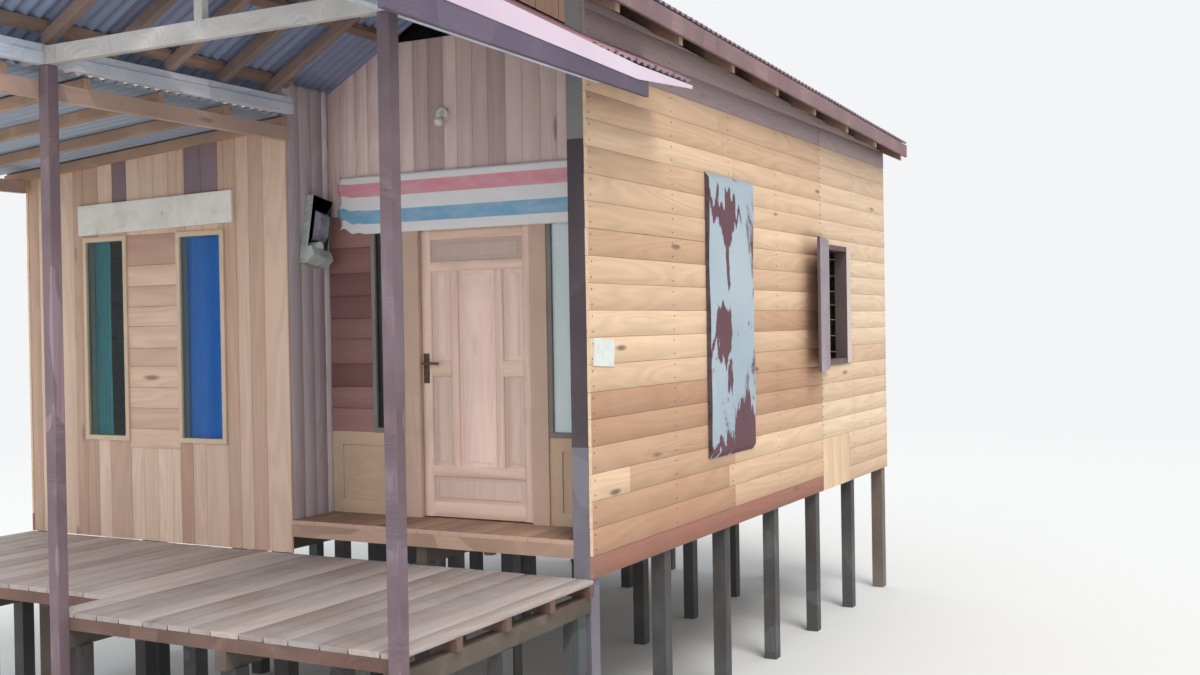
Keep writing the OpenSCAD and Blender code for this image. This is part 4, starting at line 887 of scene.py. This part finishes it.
# Meter case on the side of the bay, hung askew with its front open on the meter, and the lamp over
# the door. The case's faces take their finishes by where they lie.
case = solid_piece("open_meter_case", "meter_box", metal("pale_grey_enamel", "B4BAB5", "969C98", 0.45, 0.0),
                   "box_metal")
for name, colour, worn, roughness in (
    ("dark_case_inside", "4A4C52", "3A3B40", 0.6), ("meter_shell", "8A8694", "706C7A", 0.4),
    ("dial_glass", "DDE0E0", "C9CCCC", 0.2),
):
    case.data.materials.append(metal(name, colour, worn, roughness, 0.0))
enamel, inside, meter, dial = range(4)
case_middle = Vector((-bay_w, 0.245, 1.96))
upright_case = Matrix.Rotation(math.radians(11), 3, "X")
for face in case.data.polygons:
    out, side, height = upright_case @ (face.center - corner - case_middle)
    if height < -0.108 or out > 0.054 and abs(side) > 0.07 or abs(side) > 0.092 or height > 0.212:
        face.material_index = enamel
    elif math.hypot(side, height + 0.095) < 0.033 and out > 0.006:
        face.material_index = dial
    elif abs(side) < 0.067 and abs(height - 0.035) < 0.097 and out > 0.006:
        face.material_index = meter
    else:
        face.material_index = inside
finish_node("porch_lamp", metal("white_plastic", "E2DFD8", "CFCBC2", 0.35, 0.0))

# Porch posts, beams and rafters: rough timber, weathered purple grey, the tie beam bleached pale. The
# timber of the lean-to is newer and browner.
for piece, node, slot, ease, name, *looks in (
    ("porch_post_set", "porch_posts", "post_timber", 0.006,
     "porch_posts", "Z", "95808A", "6F5E68", "7E7480", 0.45, 0.35, 0.55, 0.8, 0.7),
    ("porch_beam_pair", "porch_beams", "beam_timber", 0.004,
     "porch_side_beams", "Y", "F0F6FF", "D2DEF0", "D8E4F2", 0.34, 0.4, 0.5, 0.7, 0.6),
    ("porch_tie_and_king_post", "porch_tie_beam", "tie_timber", 0.004,
     "porch_tie_beam", "X", "DCD8D2", "BDB8B2", "AEAAA8", 0.36, 0.5, 0.5, 0.7, 0.5),
    ("porch_rafter_set", "porch_rafters", "rafter_timber", 0.003,
     "porch_rafters", "X", "A58D84", "7B655F", "7F736D", 0.4, 0.4, 0.4, 0.6, 0.7),
    ("roof_purlin_set", "roof_purlins", "rafter_timber", 0.003,
     "roof_purlins", "Y", "A08678", "755F55", "7F736D", 0.4, 0.4, 0.4, 0.6, 0.7),
    ("lean_to_beam_pair", "lean_to_beams", "lean_timber", 0.003,
     "lean_to_beams", "Y", "D8B8A6", "B29282", "A8948C", 0.38, 0.4, 0.35, 0.6, 0.5),
    ("lean_to_rafter_set", "lean_to_rafters", "lean_timber", 0.003,
     "lean_to_rafters", "X", "C9A78F", "A3836F", "9C8578", 0.38, 0.4, 0.35, 0.6, 0.6),
):
    solid_piece(piece, node, timber(name, *looks), slot, ease=ease)
finish_node("main_rafters", timber(
    "main_rafters", "X", "B08E78", "876A58", "84776B", 0.4, 0.4, 0.4, 0.6, 0.7))

# Nails: two heads at each stud in every board of the right wall, and at the joint, but none behind
# the zinc sheet or on the patch. They are shallow discs set on points by one tree of nodes, which
# the washers of the roof screws share.
heads, given = new_group("nail_heads", "GeometryNodeTree", (
    ("Geometry", "Geometry"), ("Radius", "Float"), ("Depth", "Float"), ("Turn", "Vector"),
    ("Finish", "Material")), [("Geometry", "Geometry")])
disc = add(heads, "GeometryNodeMeshCylinder",
           {"Vertices": 8, "Radius": given["Radius"], "Depth": given["Depth"]})
turned = add(heads, "FunctionNodeEulerToRotation", {0: given["Turn"]})
struck = add(heads, "GeometryNodeInstanceOnPoints",
             {"Points": given["Geometry"], "Instance": disc, "Rotation": turned})
real = add(heads, "GeometryNodeRealizeInstances", {"Geometry": struck})
done = add(heads, "GeometryNodeSetMaterial", {"Geometry": real, "Material": given["Finish"]})
put(heads, "NodeGroupOutput", {"Geometry": done})
stud_lines = (0.03, 1.075, 1.975, 2.875, joint_y - 0.015, joint_y + 0.02, 4.72, 5.23, 5.7)
points = [corner + Vector((0.0005, y + chance.uniform(-0.006, 0.006), low + part * row_h))
          for y in stud_lines for low, high in rows for part in (0.22, 0.78)
          if low < 2.9 and not (3.9 < y < 4.6 and low < 0.4) and not (1.5 < y < 2.4 and 0.4 < low < 2.3)]
nails = grow(new_piece("right_wall_nails", new_mesh("right_wall_nails", points)), heads, Radius=0.004,
             Depth=0.002, Turn=(0, math.pi / 2, 0), Finish=metal("nail_heads", "6B6460", "54443C", 0.5))
stand_for(nails, [], "hinge_metal")

# Roof sheets: corrugated steel in widths that lap by half a wave, with the feet not quite in line.
# One tree of nodes lays out a slope, and screws with washers hold it to the purlins.
roofing, given = new_group("corrugated_roofing", "GeometryNodeTree", (
    ("Geometry", "Geometry"), ("Length", "Float"), ("Sheet width", "Float"), ("Lap", "Float"),
    ("Pitch", "Float"), ("Depth", "Float"), ("Points", "Int"), ("Sheets", "Int"), ("Stagger", "Float"),
    ("Seed", "Int"), ("Finish", "Material")), [("Geometry", "Geometry")])
full = maths(roofing, "ADD", given["Sheet width"], given["Lap"])
flat_sheet = add(roofing, "GeometryNodeMeshGrid", {
    "Size X": given["Length"], "Size Y": full, "Vertices X": 9, "Vertices Y": given["Points"]})
start = add(roofing, "ShaderNodeCombineXYZ", {"X": maths(roofing, "MULTIPLY", given["Length"], 0.5),
                                              "Y": maths(roofing, "MULTIPLY", full, 0.5)})
placed = add(roofing, "GeometryNodeTransform", {"Geometry": flat_sheet, "Translation": start})
at = add(roofing, "GeometryNodeInputPosition")
at_y = put(roofing, "ShaderNodeSeparateXYZ", {0: at}).outputs["Y"]
turns = maths(roofing, "MULTIPLY", maths(roofing, "DIVIDE", at_y, given["Pitch"]), 2 * math.pi)
reach = maths(roofing, "MULTIPLY", given["Depth"], -0.5)
rise = maths(roofing, "MULTIPLY", maths(roofing, "COSINE", turns), reach)
lift = add(roofing, "ShaderNodeCombineXYZ", {"Z": rise})
waved = add(roofing, "GeometryNodeSetPosition", {"Geometry": placed, "Offset": lift})
step = add(roofing, "ShaderNodeCombineXYZ", {"Y": given["Sheet width"]})
places = add(roofing, "GeometryNodeMeshLine", {"Count": given["Sheets"], "Offset": step}, mode="OFFSET")
back = maths(roofing, "MULTIPLY", given["Stagger"], -1.0)
pull, shade = (put(roofing, "FunctionNodeRandomValue", {2: low, 3: high, "Seed": given["Seed"]},
                   data_type="FLOAT").outputs[1] for low, high in ((back, 0.0), (0.0, 0.5)))
odd = maths(roofing, "MODULO", add(roofing, "GeometryNodeInputIndex"), 2.0)
shift = add(roofing, "ShaderNodeCombineXYZ", {"X": pull, "Z": maths(roofing, "MULTIPLY", odd, 0.0012)})
nudged = add(roofing, "GeometryNodeSetPosition", {"Geometry": places, "Offset": shift})
laid = add(roofing, "GeometryNodeInstanceOnPoints", {"Points": nudged, "Instance": waved})
toned = add(roofing, "GeometryNodeStoreNamedAttribute", {"Geometry": laid, "Name": "tone", "Value": shade},
            data_type="FLOAT", domain="INSTANCE")
real = add(roofing, "GeometryNodeRealizeInstances", {"Geometry": toned})
done = add(roofing, "GeometryNodeSetMaterial", {"Geometry": real, "Material": given["Finish"]})
put(roofing, "NodeGroupOutput", {"Geometry": done})

wave_pitch, wave_depth, sheet_gauge = 0.076, 0.018, 0.0012
waves_each, points_each = 10, 8
sheet_mid, washer_mid = 0.0105, 0.0212
washer_metal = metal("roof_washers", "7C6A68", "5C4640", 0.6)


def roof_slope(name, length, wide, place, finish, seed, slot_node, slot, screws=(), notches=()):
    """One slope of roofing, from its ridge line down, moved to its place. screws are (distance down the
    slope, length of the row), one row over each purlin, with a washer on every third wave, and notches
    are boxes cut out of it, each given by two corners."""
    sheets = max(1, round(wide / (waves_each * wave_pitch)))
    each = wide / sheets
    waves = round(each / wave_pitch)
    pitch = (each - 0.5 * wave_pitch / sheets) / waves
    obj = grow(new_piece(name, new_mesh(name, [])), roofing, **{
        "Length": length, "Sheet width": waves * pitch, "Lap": pitch / 2, "Pitch": pitch,
        "Depth": wave_depth, "Points": round((each + pitch / 2) / pitch * points_each) + 1,
        "Sheets": sheets, "Stagger": 0.006, "Seed": seed, "Finish": finish})
    obj.data.transform(place @ Matrix.Translation((0, 0, sheet_mid)))
    crests = [(k + 0.5) * pitch for k in range(1, int(wide / pitch), 3)]
    points = [place @ Vector((down, y, washer_mid)) for down, row in screws for y in crests if y < row]
    washers = grow(new_piece(name + "_washers", new_mesh(name + "_washers", points)), heads, Radius=0.011,
                   Depth=0.003, Turn=place.to_euler(), Finish=washer_metal)
    stand_for(washers, [], "hinge_metal")
    obj.data.polygons.foreach_set("use_smooth", [True] * len(obj.data.polygons))
    shell(obj, sheet_gauge)
    if notches:
        shape = bmesh.new()
        for low, high in notches:
            middle = corner + (Vector(low) + Vector(high)) / 2
            size = Matrix.Diagonal([b - a for a, b in zip(low, high)] + [1])
            bmesh.ops.create_cube(shape, size=1, matrix=Matrix.Translation(middle) @ size)
        carve(obj, shape, "DIFFERENCE", use_self=True)
    stand_for(obj, [slot_node], slot)


def roof_place(ridge, angle, half_turn, start):
    """Where a slope starts on its ridge line, and which way it falls."""
    turn = Matrix.Rotation(math.pi, 4, "Z") if half_turn else Matrix.Identity(4)
    onward = Matrix.Translation((0.004, start, 0))
    return Matrix.Translation(ridge) @ turn @ Matrix.Rotation(angle, 4, "Y") @ onward


# The blue grey under colours of these sheets are partly painted shade.
maroon = sheet_metal("maroon_roofing", "8C5F66", "A98286", "5E332F", 0.33, under="8C9CB4")
porch_sheet = sheet_metal("porch_roofing", "8E636A", "A98286", "5E332F", 0.33, under="8496B4")
lean_sheet = sheet_metal("lean_to_roofing", "8C7F84", "9EA5AB", "6B4A42", 0.34, under="94A2B2")
roof_fall = Matrix.Translation((0, 0, 3.1)) @ Matrix.Rotation(math.radians(-2), 4, "X")
main_angle, main_run, main_length = math.atan(0.49), 2.657, 6.15
main_screws = [(down, main_length) for down in (0.462, 1.130, 1.798, 2.606)]
for side, name in ((False, "main_roof_right_slope"), (True, "main_roof_left_slope")):
    start = -main_length if side else 0
    place = Matrix.Translation(corner) @ roof_fall @ roof_place((-2.2, -0.3, 1.2389), main_angle, side, start)
    roof_slope(name, main_run, main_length, place, maroon, 71 + side, "main_roof_sheets", "roof_sheet_metal",
               main_screws)
porch_angle = math.atan(0.55)
porch_ridge = corner + Vector((-1.0, 0, 3.4234))
bay_notches = (((-0.0226, -0.001, 0), (0.0006, 1, 5)), ((-3, 0.3994, 0), (0.0, 1, 5)),
               ((-0.1225, -0.001, 0), (-0.0215, 0.1005, 5)))
for name, run, start, wide, side, screws in (
    ("porch_roof_right_slope", 1.474, -2.15, 2.85, False, ((0.611, 2.1), (1.432, 2.8))),
    ("porch_roof_left_slope", 1.365, 0.001, 2.1475, True, ((0.611, 2.1), (1.170, 2.1))),
    ("porch_roof_over_bay", 1.216, -0.399, 0.398, True, ((0.611, 0.36),)),
):
    roof_slope(name, run, wide, roof_place(porch_ridge, porch_angle, side, start), porch_sheet, 75,
               "porch_roof_sheets", "porch_sheet_metal", screws, () if side else bay_notches)
lean_ridge, lean_angle = corner + Vector((-2.052, 0, 2.6399)), math.atan(0.075)
roof_slope("lean_to_roof", 2.516, 1.997, roof_place(lean_ridge, lean_angle, True, 0.002), lean_sheet, 78,
           "lean_to_sheet", "porch_sheet_metal", ((0.06, 1.97), (2.3, 1.97)))

# Ridge caps and the edge strip: folded sheet, faded pink maroon. Boards close the eaves, the porch's
# in a darker, colder grey than the house's: a dark slate purple that is painted shade of the porch roof.
flashing = sheet_metal("faded_flashing", "B58088", "C9A2A6", "6E3B39", 0.34)
strip_metal = sheet_metal("pale_edge_strip", "D8BFD0", "E4D2DE", "9A6E78", 0.22)
main_eave = timber("main_eave_boards", "Y", "9C7C7E", "745C66", "7E6E76", 0.4, 0.4, 0.4, 0.6, 0.5)
# The porch eave board's dark slate purple is painted shade.
shaded_porch_eave = timber("porch_eave_board", "Y", "6A6078", "544C62", "605A6C", 0.35, 0.3, 0.4, 0.6, 0.5)
for name, node, finish, slot, within, ease in (
    ("ridge_cap_pair", "roof_flashings", flashing, "flashing_metal", ((-4, -2, 3), (0.2, 6, 6)), 0.001),
    ("porch_edge_strip", "roof_flashings", strip_metal, "flashing_metal",
     ((0.2, -3, 2), (1, 1, 3.2)), 0.0008),
    ("main_eave_board_pair", "eave_boards", main_eave, "eave_timber", ((-9, 1, 2), (9, 9, 9)), 0.003),
    ("porch_eave_board", "eave_boards", shaded_porch_eave, "eave_timber", ((0, -3, 2), (1, 0, 3)), 0.003),
):
    solid_piece(name, node, finish, slot, within, ease)

# A small bare plate beside the corner post, of pale enamelled steel. It hangs a little askew, flat on
# the boards.
plate = bmesh.new()
bmesh.ops.create_cube(plate, size=1, matrix=Matrix.Translation(corner + Vector((0.0015, 0.155, 1.205)))
                      @ Matrix.Rotation(math.radians(-3), 4, "X") @ Matrix.Diagonal((0.003, 0.24, 0.15, 1)))
plate_enamel = metal("pale_plate_enamel", "DCE0D6", "D2D8CE", 0.3, 0.0)
stand_for(new_piece("bare_wall_plate", shape_mesh("bare_wall_plate", plate, plate_enamel)), [], "box_metal")
